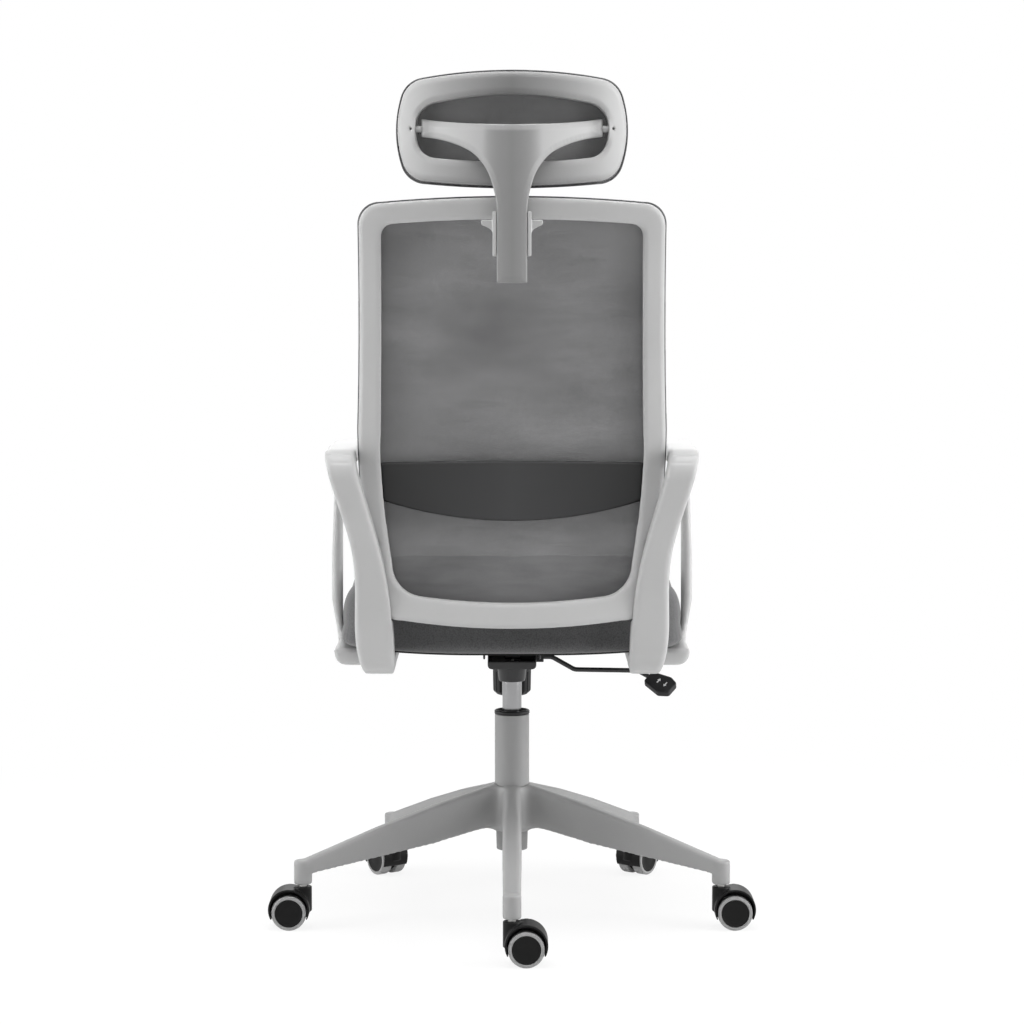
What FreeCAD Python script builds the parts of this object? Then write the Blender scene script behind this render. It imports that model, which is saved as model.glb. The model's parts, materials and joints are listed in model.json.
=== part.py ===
import FreeCAD, Part
import math
import os

# Mesh-back office chair with a headrest, on a gas lift and five twin-wheel casters.
# Millimetres. Origin: on the floor, on the swivel axis. +Z up, +Y towards the sitter's front,
# +X to the sitter's right. Each sub-part is written as one STEP file named after its node.

V = FreeCAD.Vector

# ---- clearances ---------------------------------------------------------------------------
RUNNING_GAP = 0.15      # radial gap of a sliding or turning fit
SEAT_GAP = 0.3          # gap between two curved faces that lie against each other
HOLE_GAP = 0.3          # radial gap of a bolt in its hole
LOOSE_GAP = 0.6         # gap beside a part that slides by hand

# ---- casters ------------------------------------------------------------------------------
WHEEL_D = 50.0
WHEEL_W = 17.0
WHEEL_ROOM = 0.8        # radial room round a wheel inside the hood
WHEEL_SPACING = 9.0     # clear space between the two wheels of a caster
TYRE_T = 5.2
TYRE_EDGE = 2.2
AXLE_D = 6.0
TRAIL = 19.5            # stem axis to axle
HOOD_R = 29.5
HOOD_T = 3.0
HOOD_LIFT = 5.0         # centre of the hood's arc above the axle
HOOD_FOOT = 9.0         # lower end of the hood's prongs below the axle
BOSS_D = 25.0
BOSS_RISE = 1.5         # boss above the hood's arc
STEM_D = 11.0
STEM_IN_LEG = 24.0
STUB_GAP = 3.0          # caster boss to the leg's stub

# ---- star base ----------------------------------------------------------------------------
LEG_COUNT = 5
LEG_FIRST = 270.0       # direction of the first leg, degrees
LEG_REACH = 314.0       # swivel axis to caster stem axis
TRAIL_TURNS = (0.0, 0.0, 54.0, 126.0, 180.0)    # direction each caster trails in, degrees
STUB_D = 26.0
STUB_RISE = 14.5        # stub's lower face to the leg's underside at its tip
TIP_DEPTH = 20.0        # depth of the leg at its tip
HUB_D = 58.0
HUB_H = 69.0
HUB_RISE = 128.0        # stub's lower face to the hub's top
LEG_ROOT_DEPTH = 63.5
LEG_BULGE = 4.0         # how far the leg's ridge is crowned above a straight line
LEG_ROOT_W = 29.0
LEG_TIP_W = 26.0
LEG_BEVEL = 3.0
LEG_WALL = 3.5
LEG_CELLS = 5           # ribbed cells under each leg

# ---- gas lift -----------------------------------------------------------------------------
COLUMN_D = 50.0
COLUMN_WALL = 2.0
TAPER_L = 96.5
TAPER_END_D = 45.0
COLUMN_SHOWN = 102.4    # hub top to column top
GUIDE_L = 69.0
GUIDE_CAP_D = 51.0
GUIDE_CAP_H = 6.0
BEARING_D = 24.0
WASHER_T = 1.5
BALL_RING_T = 3.0
FLOOR_PLATE_T = 2.5
CYLINDER_D = 28.0
CYLINDER_TIP_D = 26.6
CYLINDER_CONE_L = 29.0
CYLINDER_SHOWN = 42.2   # guide cap to mechanism socket, at the lowest seat height
BORE_D = 23.0
ROD_D = 10.0
NECK_D = 8.0
CLIP_D = 16.0
PISTON_L = 12.0
PISTON_BELOW_BOX = 43.4 # housing floor's underside to the piston's top, at the lowest seat height
PIN_L = 24.8
PIN_D = 6.0
PIN_STROKE = 6.0

# ---- tilt mechanism -----------------------------------------------------------------------
SOCKET_D = 38.0
SOCKET_FOOT_L = 24.8    # socket's lower edge to the housing floor
BOX_HALF_W = 35.0
BOX_REAR = -60.0
BOX_FRONT = 122.0
BOX_WALL = 3.0
BOX_CORNER = 6.0
PIVOT_Y = 40.0
PIVOT_RISE = 24.6       # housing floor's underside to the tilt axis
PIVOT_D = 10.0
PLATE_RISE = 35.6       # housing floor's underside to the tilt plate
PLATE_T = 3.0
PLATE_HALF_W = 85.0
PLATE_REAR = -72.0
PLATE_FRONT = 126.0
FLANGE_IN = 38.5        # inner face of the tilt plate's side flanges
FLANGE_DROP = 21.0
BOLT_Y = 90.0           # tension bolt's axis
BOLT_D = 8.0
BOLT_BAR_D = 9.0
BOLT_BAR_L = 24.0
SPRING_D = 34.0
SPRING_WIRE = 5.0
SPRING_TURNS = 4.0
KNOB_D = 57.0
KNOB_H = 40.0
KNOB_DROP = 58.0        # housing floor's underside to the knob's lower face
KNOB_BORE = 45.0
KNOB_FLOOR = 9.0
KNOB_FLUTES = 16
LEVER_D = 7.0
LEVER_RISE = 10.2       # housing floor's underside to the lever's axis
SLEEVE_IN = 12.0
SLEEVE_OUT = 46.0
SLEEVE_HALF_W = 7.0
LEVER_PIVOT_X = 38.0
LEVER_INNER_X = -11.0
LEVER_CROSS_D = 3.0     # cross pin that the lever rocks on
PADDLE_AT = V(214.5, -27.5, 0)
PADDLE_DROP = 36.6      # lever's axis to the paddle's middle
PADDLE_LENGTH = V(0.796, -0.497, -0.347)
PADDLE_WIDTH = V(0.6, 0.57, 0.56)
PADDLE_T = 11.0

# ---- seat ---------------------------------------------------------------------------------
BOARD_T = 12.0
BOARD_INSET = 24.0
CUSHION_HALF_W = 246.5
CUSHION_REAR = -214.0
CUSHION_FRONT = 250.0
CUSHION_H = 92.0
CUSHION_RISE = 2.0      # board's underside to the cushion's lower edge
SEAT_BOLT_D = 6.0
SEAT_BOLT_X = 66.0
SEAT_BOLT_Y = (-48.0, 96.0)
BOLT_SHORT = 2.0        # bolts end this far below the board's top
HEX_R = 5.5             # bolt head, centre to corner
HEX_H = 4.0
BOARD_HOLE_D = 34.0     # way for the tension bolt's bar

# ---- armrests -----------------------------------------------------------------------------
ARM_TOP_RISE = 288.0    # board's underside to the top of the armrest
ARM_BAR_T = 24.0
ARM_PAD_T = 21.0
ARM_OUT = 258.0         # outer face of the pad
ARM_PAD_W = 39.0
ARM_SEAT_GAP = 1.0      # front leg to cushion
ARM_BULGE = 262.0       # outer face of the front leg beside the seat
ARM_FOOT_IN = 163.0     # inner edge of the foot under the seat board
ARM_SPLIT_Y = -120.0    # where the rear leg's part meets the front part
ARM_REAR = (-246.0, -225.0)     # rear face at the top and at the bottom
ARM_FRONT = (70.0, 40.0)        # front face at the top and at the bottom
ARM_REAR_DEPTH = (40.0, 35.0)
ARM_FRONT_DEPTH = 40.0
ARM_BOLT_X = 190.0
ARM_BOLT_Y = (-118.0, -52.0, 14.0)

# ---- back ---------------------------------------------------------------------------------
BACK_RISE = 44.0        # board's underside to the lower edge of the back frame
BACK_H = 585.0
BACK_BEND = 28.0        # how far the sides stand forward of the middle, 200 mm out
BACK_BEND_AT = 200.0
FRAME_REAR = -10.0      # faces of the frame, from the back's middle surface
FRAME_FRONT = 8.0
CARRIER_T = 5.7
MESH_T = 1.7
MESH_GROW = 2.5         # mesh and carrier stand this far outside the frame
TOP_HALF = 206.0        # half widths of the frame
SHOULDER_HALF = 211.5
BASE_HALF = 190.0
TOP_RAIL = 28.5
BOTTOM_RAIL = 34.0
SIDE_RAIL = 30.0
TOP_ARCH = 7.5
BOTTOM_ARCH = 9.3
# the back's middle surface in side view: height above the frame's lower edge, and y
BACK_LINE = ((-20.0, -241.0), (70.0, -225.0), (170.0, -216.0), (300.0, -225.0), (450.0, -260.0),
             (610.0, -307.0))

# ---- lumbar band --------------------------------------------------------------------------
BAND_RISE = 145.5       # frame's lower edge to the band's lower edge in the middle
BAND_H = 82.8
BAND_END_H = 51.0
BAND_HALF = 185.0
BAND_REAR = -1.0
BAND_T = 7.0
BAND_TRAVEL = 25.0      # up and down from the middle
GROOVE_REAR = -4.0
GROOVE_MARGIN = 8.0     # groove beyond the band's ends at the limits of its travel
BAND_END_DROP = 4.0     # band's top edge, middle to end

# ---- headrest -----------------------------------------------------------------------------
HEAD_RISE = 16.0        # back frame's top to the headrest's lower edge
HEAD_H = 150.0
HEAD_HALF = 154.0
HEAD_BAND = 30.0        # width of the frame's band at top and bottom
HEAD_SIDE = 25.0        # and at the sides
HEAD_Y = -307.0         # rear face in the middle
HEAD_SAG = 58.0         # how far the ends stand forward of the middle
HEAD_T = 27.0
STEM_GAP = 16.0         # headrest frame to stem in the middle
STEM_T = 11.0
STEM_HALF = 20.1
STEM_NECK_HALF = 26.0
STEM_ARM_HALF = 121.5
STEM_ARM_H = 24.5
STEM_ARM_DIP = 10.6
STEM_FLAT = 28.0        # half width of the stem's flat middle, seen from above
STEM_TIP_FLAT = 10.0    # length of each arm's end that runs straight across
STEM_DROP = 113.0       # back frame's top to the stem's lower end
STEM_PIN_D = 6.0
PIN_INTO_HEAD = 8.0
PIN_INTO_STEM = 12.0
HEAD_AXIS_RISE = 76.0   # headrest's lower edge to its tilt axis
PIVOT_BACK = 8.0        # headrest axis in front of the frame's rear face, at its ends
HOLDER_TOP = 19.0       # back frame's top to the holder's upper end
HOLDER_H = 59.0
HOLDER_WALL = 5.0
HOLDER_PLATE = 6.0
HOLDER_WING_HALF = 41.0
HOLDER_SCREW_X = 13.0
HOLDER_SCREW_D = 5.0

# ---- heights that follow from the above ---------------------------------------------------
AXLE_Z = WHEEL_D / 2
BOSS_TOP = AXLE_Z + HOOD_LIFT + HOOD_R + BOSS_RISE
STUB_Z = BOSS_TOP + STUB_GAP
HUB_TOP = STUB_Z + HUB_RISE
COLUMN_FOOT = HUB_TOP - TAPER_L
COLUMN_TOP = HUB_TOP + COLUMN_SHOWN
BEARING_Z = COLUMN_FOOT + FLOOR_PLATE_T
BEARING_TOP = BEARING_Z + 2 * WASHER_T + BALL_RING_T
CYLINDER_FOOT = BEARING_TOP + 4.0
SOCKET_Z = COLUMN_TOP + GUIDE_CAP_H + CYLINDER_SHOWN
BOX_Z = SOCKET_Z + SOCKET_FOOT_L
CYLINDER_TOP = BOX_Z + 1.6
PIVOT_Z = BOX_Z + PIVOT_RISE
LEVER_Z = BOX_Z + LEVER_RISE
PIN_TOP = LEVER_Z - LEVER_D / 2 - SEAT_GAP
PLATE_Z = BOX_Z + PLATE_RISE
BOARD_Z = PLATE_Z + PLATE_T
CUSHION_Z = BOARD_Z + CUSHION_RISE
ARM_TOP = BOARD_Z + ARM_TOP_RISE
ARM_FOOT = BOARD_Z - ARM_BAR_T
BACK_Z = BOARD_Z + BACK_RISE
BACK_TOP = BACK_Z + BACK_H
HEAD_Z = BACK_TOP + HEAD_RISE
HEAD_TOP = HEAD_Z + HEAD_H
HEAD_AXIS_Z = HEAD_Z + HEAD_AXIS_RISE
KNOB_Z = BOX_Z - KNOB_DROP
FAR = 400.0             # longer than anything that a cutting block has to pass through


# ---- shared shape helpers -----------------------------------------------------------------
def box(x, y, z):
    """A block from three (low, high) pairs."""
    return Part.makeBox(x[1] - x[0], y[1] - y[0], z[1] - z[0], V(x[0], y[0], z[0]))


def rod(diameter, start, end):
    """A cylinder between two points."""
    along = end - start
    return Part.makeCylinder(diameter / 2, along.Length, start, along)


def cone(start_d, end_d, start, end):
    along = end - start
    return Part.makeCone(start_d / 2, end_d / 2, along.Length, start, along)


def fuse(shapes):
    whole = shapes[0].fuse(shapes[1:]) if len(shapes) > 1 else shapes[0]
    return whole.removeSplitter()


def mirrored(shape):
    """The same shape on the other side of the chair."""
    return shape.mirror(V(0, 0, 0), V(1, 0, 0))


def placed(shape, turn, at):
    """A copy turned about +Z, then moved."""
    copy = shape.copy()
    copy.rotate(V(0, 0, 0), V(0, 0, 1), turn)
    copy.translate(at)
    return copy


def arc(start, through, end):
    return Part.Arc(start, through, end).toShape()


def rounded_wire(points, radii, closed=True):
    """Straight edges through the points, with a tangent arc of each point's radius."""
    count = len(points)
    ends = []
    edges = []
    for i in range(count):
        if radii[i] <= 0:
            ends.append((points[i], points[i]))
            continue
        back = (points[i - 1] - points[i]).normalize()
        on = (points[(i + 1) % count] - points[i]).normalize()
        half = back.getAngle(on) / 2
        reach = radii[i] / math.tan(half)
        middle = (back + on).normalize()
        centre = points[i] + middle * (radii[i] / math.sin(half))
        start = points[i] + back * reach
        end = points[i] + on * reach
        edges.append(arc(start, centre - middle * radii[i], end))
        ends.append((start, end))
    for i in range(count if closed else count - 1):
        start = ends[i][1]
        end = ends[(i + 1) % count][0]
        if (end - start).Length > 1e-6:
            edges.append(Part.makeLine(start, end))
    return Part.Wire(Part.__sortEdges__(edges))


def symmetric_wire(edges):
    """Closes a right-hand half outline with its mirror image."""
    return Part.Wire(Part.__sortEdges__(edges + [mirrored(edge) for edge in edges]))


def prism(wire, along):
    return Part.Face(wire).extrude(along)


def across(wire):
    """An upright outline, cut right through the chair from back to front."""
    outline = wire.copy()
    outline.translate(V(0, -FAR, 0))
    return prism(outline, V(0, 2 * FAR, 0))


def arch(peak, half, end_z):
    """Half an arc that is level over the middle, from (0, peak) to (half, end_z)."""
    drop = peak - end_z
    radius = (half ** 2 + drop ** 2) / (2 * drop)
    rise = abs(radius) - math.sqrt(radius ** 2 - half ** 2 / 4)
    middle_z = peak - math.copysign(rise, drop)
    return arc(V(0, 0, peak), V(half / 2, 0, middle_z), V(half, 0, end_z))


def save(node, shapes):
    """Writes one node: a single solid, or a group of them."""
    group = shapes if isinstance(shapes, list) else [shapes]
    solids = [solid for shape in group for solid in shape.Solids]
    whole = solids[0] if len(solids) == 1 else Part.makeCompound(solids)
    whole.exportStep("parts/" + node + ".step")
    print(node, len(solids), "solids,", round(whole.Volume / 1000, 1), "cm3, valid", whole.isValid())


# ---- star base ----------------------------------------------------------------------------
def leg_directions():
    return [LEG_FIRST + i * 360.0 / LEG_COUNT for i in range(LEG_COUNT)]


def stem_points():
    """The caster stem axes, on the floor."""
    turns = [math.radians(turn) for turn in leg_directions()]
    return [V(LEG_REACH * math.cos(turn), LEG_REACH * math.sin(turn), 0) for turn in turns]


def leg_section(r, inset):
    """The leg's bevelled section at a distance from the swivel axis, made smaller by the inset."""
    root = HUB_D / 2
    part = (r - root) / (LEG_REACH - root)
    tip_low = STUB_Z + STUB_RISE
    root_low = HUB_TOP - LEG_ROOT_DEPTH
    low = root_low + (tip_low - root_low) * part
    ridge = HUB_TOP + (tip_low + TIP_DEPTH - HUB_TOP) * part + 4 * LEG_BULGE * part * (1 - part)
    foot = (LEG_ROOT_W + (LEG_TIP_W - LEG_ROOT_W) * part) / 2 - inset
    flat = foot - LEG_BEVEL
    if inset:
        ridge -= inset
        low -= 1.0
    points = [(-foot, low), (-flat, ridge - LEG_BEVEL), (-flat + LEG_BEVEL, ridge),
              (flat - LEG_BEVEL, ridge), (flat, ridge - LEG_BEVEL), (foot, low)]
    corners = [V(r, y, z) for y, z in points]
    return Part.makePolygon(corners + [corners[0]])


def leg():
    """One leg along +X, hollow underneath with cross ribs between its cells."""
    stations = (20.0, 110.0, 200.0, LEG_REACH)
    beam = Part.makeLoft([leg_section(r, 0) for r in stations], True, True)
    stub_top = STUB_Z + STUB_RISE + TIP_DEPTH
    stub = rod(STUB_D, V(LEG_REACH, 0, STUB_Z), V(LEG_REACH, 0, stub_top))
    first = HUB_D / 2 + 14
    last = LEG_REACH - STUB_D / 2 - LEG_WALL
    pitch = (last - first + LEG_WALL) / LEG_CELLS
    cells = []
    for i in range(LEG_CELLS):
        start = first + i * pitch
        end = start + pitch - LEG_WALL
        cells.append(Part.makeLoft([leg_section(r, LEG_WALL) for r in (start, end)], True, True))
    socket = rod(STEM_D, V(LEG_REACH, 0, STUB_Z), V(LEG_REACH, 0, STUB_Z + STEM_IN_LEG))
    return beam.fuse(stub).cut(cells + [socket])


def taper(extra):
    """The tapered seat of the column in the hub, from the hub's top down."""
    end = V(0, 0, COLUMN_FOOT)
    return cone(COLUMN_D + extra, TAPER_END_D + extra, V(0, 0, HUB_TOP), end)


def star_base():
    hub = rod(HUB_D, V(0, 0, HUB_TOP - HUB_H), V(0, 0, HUB_TOP))
    one = leg()
    legs = [placed(one, turn, V(0, 0, 0)) for turn in leg_directions()]
    tube = rod(COLUMN_D, V(0, 0, HUB_TOP), V(0, 0, COLUMN_TOP))
    return fuse([hub] + legs).cut([taper(0), tube])


def caster_stems():
    """Five pressed-in steel pins, each with a snap collar in its caster's boss."""
    foot = stem_foot_z()
    stems = []
    for point in stem_points():
        pin = rod(STEM_D, point + V(0, 0, foot), point + V(0, 0, STUB_Z + STEM_IN_LEG))
        stems.append(pin)
    return stems


# ---- gas lift -----------------------------------------------------------------------------
def gas_column():
    """The outer tube with its taper, closed at the bottom by a plate that holds the rod."""
    bore = COLUMN_D - 2 * COLUMN_WALL
    foot_bore = TAPER_END_D - 2 * COLUMN_WALL
    tube = fuse([taper(0), rod(COLUMN_D, V(0, 0, HUB_TOP), V(0, 0, COLUMN_TOP))])
    hollow = fuse([cone(bore, foot_bore, V(0, 0, HUB_TOP), V(0, 0, BEARING_Z)),
                   rod(bore, V(0, 0, HUB_TOP), V(0, 0, COLUMN_TOP))])
    hole = rod(NECK_D + 2 * HOLE_GAP, V(0, 0, COLUMN_FOOT), V(0, 0, BEARING_Z))
    return tube.cut([hollow, hole])


def column_guide():
    """The plastic bush that guides the cylinder, with its cap on the tube's rim."""
    bore = COLUMN_D - 2 * COLUMN_WALL
    bush = rod(bore, V(0, 0, COLUMN_TOP - GUIDE_L), V(0, 0, COLUMN_TOP))
    cap = rod(GUIDE_CAP_D, V(0, 0, COLUMN_TOP), V(0, 0, COLUMN_TOP + GUIDE_CAP_H))
    way = rod(CYLINDER_D + 2 * RUNNING_GAP, V(0, 0, COLUMN_TOP - GUIDE_L),
              V(0, 0, COLUMN_TOP + GUIDE_CAP_H))
    return fuse([bush, cap]).cut(way)


def thrust_bearing():
    """Two washers with a ball ring between them, on the column's bottom plate."""
    rings = []
    z = BEARING_Z
    for thickness, diameter in ((WASHER_T, BEARING_D), (BALL_RING_T, BEARING_D - 2),
                                (WASHER_T, BEARING_D)):
        ring = rod(diameter, V(0, 0, z), V(0, 0, z + thickness))
        hole = rod(NECK_D + 2 * HOLE_GAP, V(0, 0, z), V(0, 0, z + thickness))
        rings.append(ring.cut(hole))
        z += thickness
    return rings


def piston_rod():
    """The rod with its piston, and the clip that holds it under the bottom plate."""
    piston_top = BOX_Z - PISTON_BELOW_BOX
    neck = rod(NECK_D, V(0, 0, COLUMN_FOOT - 4.5), V(0, 0, BEARING_TOP))
    shaft = rod(ROD_D, V(0, 0, BEARING_TOP), V(0, 0, piston_top))
    piston = rod(BORE_D - 2 * RUNNING_GAP, V(0, 0, piston_top - PISTON_L), V(0, 0, piston_top))
    clip_top = COLUMN_FOOT - SEAT_GAP
    clip = rod(CLIP_D, V(0, 0, clip_top - 1.5), V(0, 0, clip_top))
    clip = clip.cut(rod(NECK_D, V(0, 0, clip_top - 1.5), V(0, 0, clip_top)))
    return [fuse([neck, shaft, piston]), clip]


def cylinder_cone():
    """The cylinder's tapered end, which seats in the mechanism's socket."""
    start = V(0, 0, CYLINDER_TOP - CYLINDER_CONE_L)
    return cone(CYLINDER_D, CYLINDER_TIP_D, start, V(0, 0, CYLINDER_TOP))


def pin_bottom():
    return PIN_TOP - PIN_L


def gas_cylinder():
    cone_z = CYLINDER_TOP - CYLINDER_CONE_L
    body = fuse([rod(CYLINDER_D, V(0, 0, CYLINDER_FOOT), V(0, 0, cone_z)), cylinder_cone()])
    bore = rod(BORE_D, V(0, 0, CYLINDER_FOOT + 10), V(0, 0, cone_z - 10))
    rod_hole = rod(ROD_D + 2 * RUNNING_GAP, V(0, 0, CYLINDER_FOOT), V(0, 0, CYLINDER_FOOT + 10))
    pin_hole = rod(PIN_D + 2 * RUNNING_GAP, V(0, 0, pin_bottom() - PIN_STROKE - 1),
                   V(0, 0, CYLINDER_TOP))
    return body.cut([bore, rod_hole, pin_hole])


def release_pin():
    """The valve button on top of the cylinder."""
    return rod(PIN_D, V(0, 0, pin_bottom()), V(0, 0, PIN_TOP))


# ---- tilt mechanism -----------------------------------------------------------------------
def channel(half, floor, wall, corner):
    """A U-shaped channel along the chair, outer or inner outline, as a solid block."""
    low = BOX_Z + floor
    high = BOX_Z + PLATE_RISE - 4.0
    side = half - wall
    points = [V(-side, BOX_REAR, high), V(-side, BOX_REAR, low), V(side, BOX_REAR, low),
              V(side, BOX_REAR, high)]
    wire = rounded_wire(points, (0, corner, corner, 0))
    return prism(wire, V(0, BOX_FRONT - BOX_REAR, 0))


def mechanism_box():
    """The pressed housing: channel, end walls, side walls cut low at the rear, cylinder socket."""
    shell = channel(BOX_HALF_W, 0, 0, BOX_CORNER)
    inside = channel(BOX_HALF_W, BOX_WALL, BOX_WALL, BOX_CORNER - BOX_WALL)
    keep = box((-FAR, FAR), (BOX_REAR + BOX_WALL, BOX_FRONT - BOX_WALL), (0, 2 * FAR))
    shell = shell.cut(inside.common(keep))
    high = BOX_Z + PLATE_RISE - 4.0
    rear_high = BOX_Z + 11.6
    clear = [V(-FAR, BOX_REAR - 1, rear_high), V(-FAR, -22, high - 10.5), V(-FAR, 30, high),
             V(-FAR, 30, high + 10), V(-FAR, BOX_REAR - 1, high + 10)]
    shell = shell.cut(prism(Part.makePolygon(clear + [clear[0]]), V(2 * FAR, 0, 0)))
    socket = cone(SOCKET_D, SOCKET_D + 6, V(0, 0, SOCKET_Z), V(0, 0, BOX_Z))
    socket_floor = rod(SOCKET_D + 6, V(0, 0, BOX_Z), V(0, 0, BOX_Z + BOX_WALL))
    whole = fuse([shell, socket, socket_floor])
    through = rod(CYLINDER_TIP_D - 0.1, V(0, 0, CYLINDER_TOP), V(0, 0, BOX_Z + BOX_WALL + 1))
    pivot = rod(PIVOT_D, V(-FAR, PIVOT_Y, PIVOT_Z), V(FAR, PIVOT_Y, PIVOT_Z))
    bolt_way = rod(BOLT_D + 2 * LOOSE_GAP, V(0, BOLT_Y, 0), V(0, BOLT_Y, BOX_Z + 2 * BOX_WALL))
    low, high = sleeve_heights()
    window = box((0, FAR), (-SLEEVE_HALF_W - SEAT_GAP, SLEEVE_HALF_W + SEAT_GAP),
                 (low - SEAT_GAP, high + SEAT_GAP))
    return whole.cut([cylinder_cone(), through, pivot, bolt_way, window])


def tilt_pivot_pin():
    end = FLANGE_IN + PLATE_T + 3.5
    pin = rod(PIVOT_D, V(-end, PIVOT_Y, PIVOT_Z), V(end, PIVOT_Y, PIVOT_Z))
    heads = [rod(PIVOT_D + 5, V(side * (end - 2.5), PIVOT_Y, PIVOT_Z), V(side * end, PIVOT_Y, PIVOT_Z))
             for side in (-1, 1)]
    return fuse([pin] + heads)


def pivot_washers():
    """Spacers on the pin, between the housing and the tilt plate's ears."""
    washers = []
    for side in (-1, 1):
        start = V(side * BOX_HALF_W, PIVOT_Y, PIVOT_Z)
        end = V(side * (FLANGE_IN - SEAT_GAP), PIVOT_Y, PIVOT_Z)
        washers.append(rod(PIVOT_D + 6, start, end).cut(rod(PIVOT_D, start, end)))
    return washers


def tilt_plate():
    """The plate under the seat board, with side flanges that hang on the pivot pin."""
    web = box((-PLATE_HALF_W, PLATE_HALF_W), (PLATE_REAR, PLATE_FRONT), (PLATE_Z, BOARD_Z))
    low = PLATE_Z - FLANGE_DROP
    ear = 18.0
    points = [V(FLANGE_IN, PLATE_REAR, PLATE_Z), V(FLANGE_IN, PLATE_REAR + 8, low),
              V(FLANGE_IN, -24, low), V(FLANGE_IN, -14, PLATE_Z - 3), V(FLANGE_IN, 14, PLATE_Z - 3),
              V(FLANGE_IN, PIVOT_Y - ear, low), V(FLANGE_IN, PIVOT_Y + ear, low),
              V(FLANGE_IN, PIVOT_Y + ear + 16, PLATE_Z)]
    flange = prism(rounded_wire(points, (0, 5, 5, 4, 4, 10, 10, 0)), V(PLATE_T, 0, 0))
    whole = fuse([web, flange, mirrored(flange)])
    pivot = rod(PIVOT_D + 2 * RUNNING_GAP, V(-FAR, PIVOT_Y, PIVOT_Z), V(FAR, PIVOT_Y, PIVOT_Z))
    slot = box((-6, 6), (BOLT_Y - 11, BOLT_Y + 11), (PLATE_Z - 1, BOARD_Z + 1))
    return whole.cut([pivot, slot] + seat_bolt_rods(SEAT_BOLT_D, PLATE_Z - 1, BOARD_Z + 1))


def tension_bolt():
    """A T-headed bolt: its bar lies on the tilt plate and its shank ends in the knob."""
    bar_z = BOARD_Z + BOLT_BAR_D / 2 + SEAT_GAP
    half = BOLT_BAR_L / 2
    bar = rod(BOLT_BAR_D, V(-half, BOLT_Y, bar_z), V(half, BOLT_Y, bar_z))
    shank = rod(BOLT_D, V(0, BOLT_Y, KNOB_Z + 2), V(0, BOLT_Y, bar_z))
    return fuse([bar, shank])


def tension_knob():
    """A fluted cup that screws up the bolt and squeezes the spring inside it."""
    top = V(0, BOLT_Y, KNOB_Z + KNOB_H)
    body = fuse([cone(KNOB_D - 12, KNOB_D, V(0, BOLT_Y, KNOB_Z), V(0, BOLT_Y, KNOB_Z + 6)),
                 rod(KNOB_D, V(0, BOLT_Y, KNOB_Z + 6), top)])
    cuts = [rod(KNOB_BORE, V(0, BOLT_Y, KNOB_Z + KNOB_FLOOR), top),
            rod(BOLT_D, V(0, BOLT_Y, KNOB_Z), top)]
    for i in range(KNOB_FLUTES):
        turn = 2 * math.pi * i / KNOB_FLUTES
        reach = KNOB_D / 2 + 0.8
        foot = V(reach * math.cos(turn), BOLT_Y + reach * math.sin(turn), KNOB_Z - 1)
        cuts.append(rod(4.0, foot, foot + V(0, 0, KNOB_H - 4)))
    return body.cut(cuts)


def tension_spring():
    """A coil spring round the bolt, between the knob's floor and the housing."""
    low = KNOB_Z + KNOB_FLOOR + SEAT_GAP + SPRING_WIRE / 2
    high = BOX_Z - SEAT_GAP - SPRING_WIRE / 2
    radius = (SPRING_D - SPRING_WIRE) / 2
    helix = Part.makeHelix((high - low) / SPRING_TURNS, high - low, radius)
    start = Part.Circle(V(radius, 0, 0), V(0, 1, 0), SPRING_WIRE / 2).toShape()
    coil = Part.Wire(helix.Edges).makePipeShell([Part.Wire([start])], True, True)
    coil.translate(V(0, BOLT_Y, low))
    return coil


def sleeve_heights():
    return BOX_Z + BOX_WALL + SEAT_GAP, LEVER_Z + LEVER_D / 2 + 4.9


def lever_sleeve():
    """The sliding block that carries the lever: an upside-down channel with a cross hole."""
    low, high = sleeve_heights()
    block = box((SLEEVE_IN, SLEEVE_OUT), (-SLEEVE_HALF_W, SLEEVE_HALF_W), (low, high))
    way = box((SLEEVE_IN - 1, SLEEVE_OUT + 1), (-LEVER_D / 2 - 0.7, LEVER_D / 2 + 0.7),
              (low - 1, LEVER_Z + LEVER_D / 2 + 1.3))
    cross = rod(LEVER_CROSS_D + 2 * RUNNING_GAP, V(LEVER_PIVOT_X, -FAR, LEVER_Z),
                V(LEVER_PIVOT_X, FAR, LEVER_Z))
    return block.cut([way, cross])


def lever_route():
    """The lever's centre line: level through the housing, then down and out to the paddle."""
    return [V(LEVER_INNER_X, 0, LEVER_Z), V(58, 0, LEVER_Z), V(91, 0, LEVER_Z - 18.6),
            V(183, 0, LEVER_Z - 20.1), V(204, -12, LEVER_Z - 30.4)]


def lever_rod():
    points = lever_route()
    path = rounded_wire(points, (0, 14, 14, 12, 0), closed=False)
    ring = Part.Wire([Part.Circle(points[0], V(1, 0, 0), LEVER_D / 2).toShape()])
    bar = path.makePipeShell([ring], True, False)
    half = SLEEVE_HALF_W - 0.5
    cross = rod(LEVER_CROSS_D, V(LEVER_PIVOT_X, -half, LEVER_Z), V(LEVER_PIVOT_X, half, LEVER_Z))
    return bar.fuse(cross)


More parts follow.
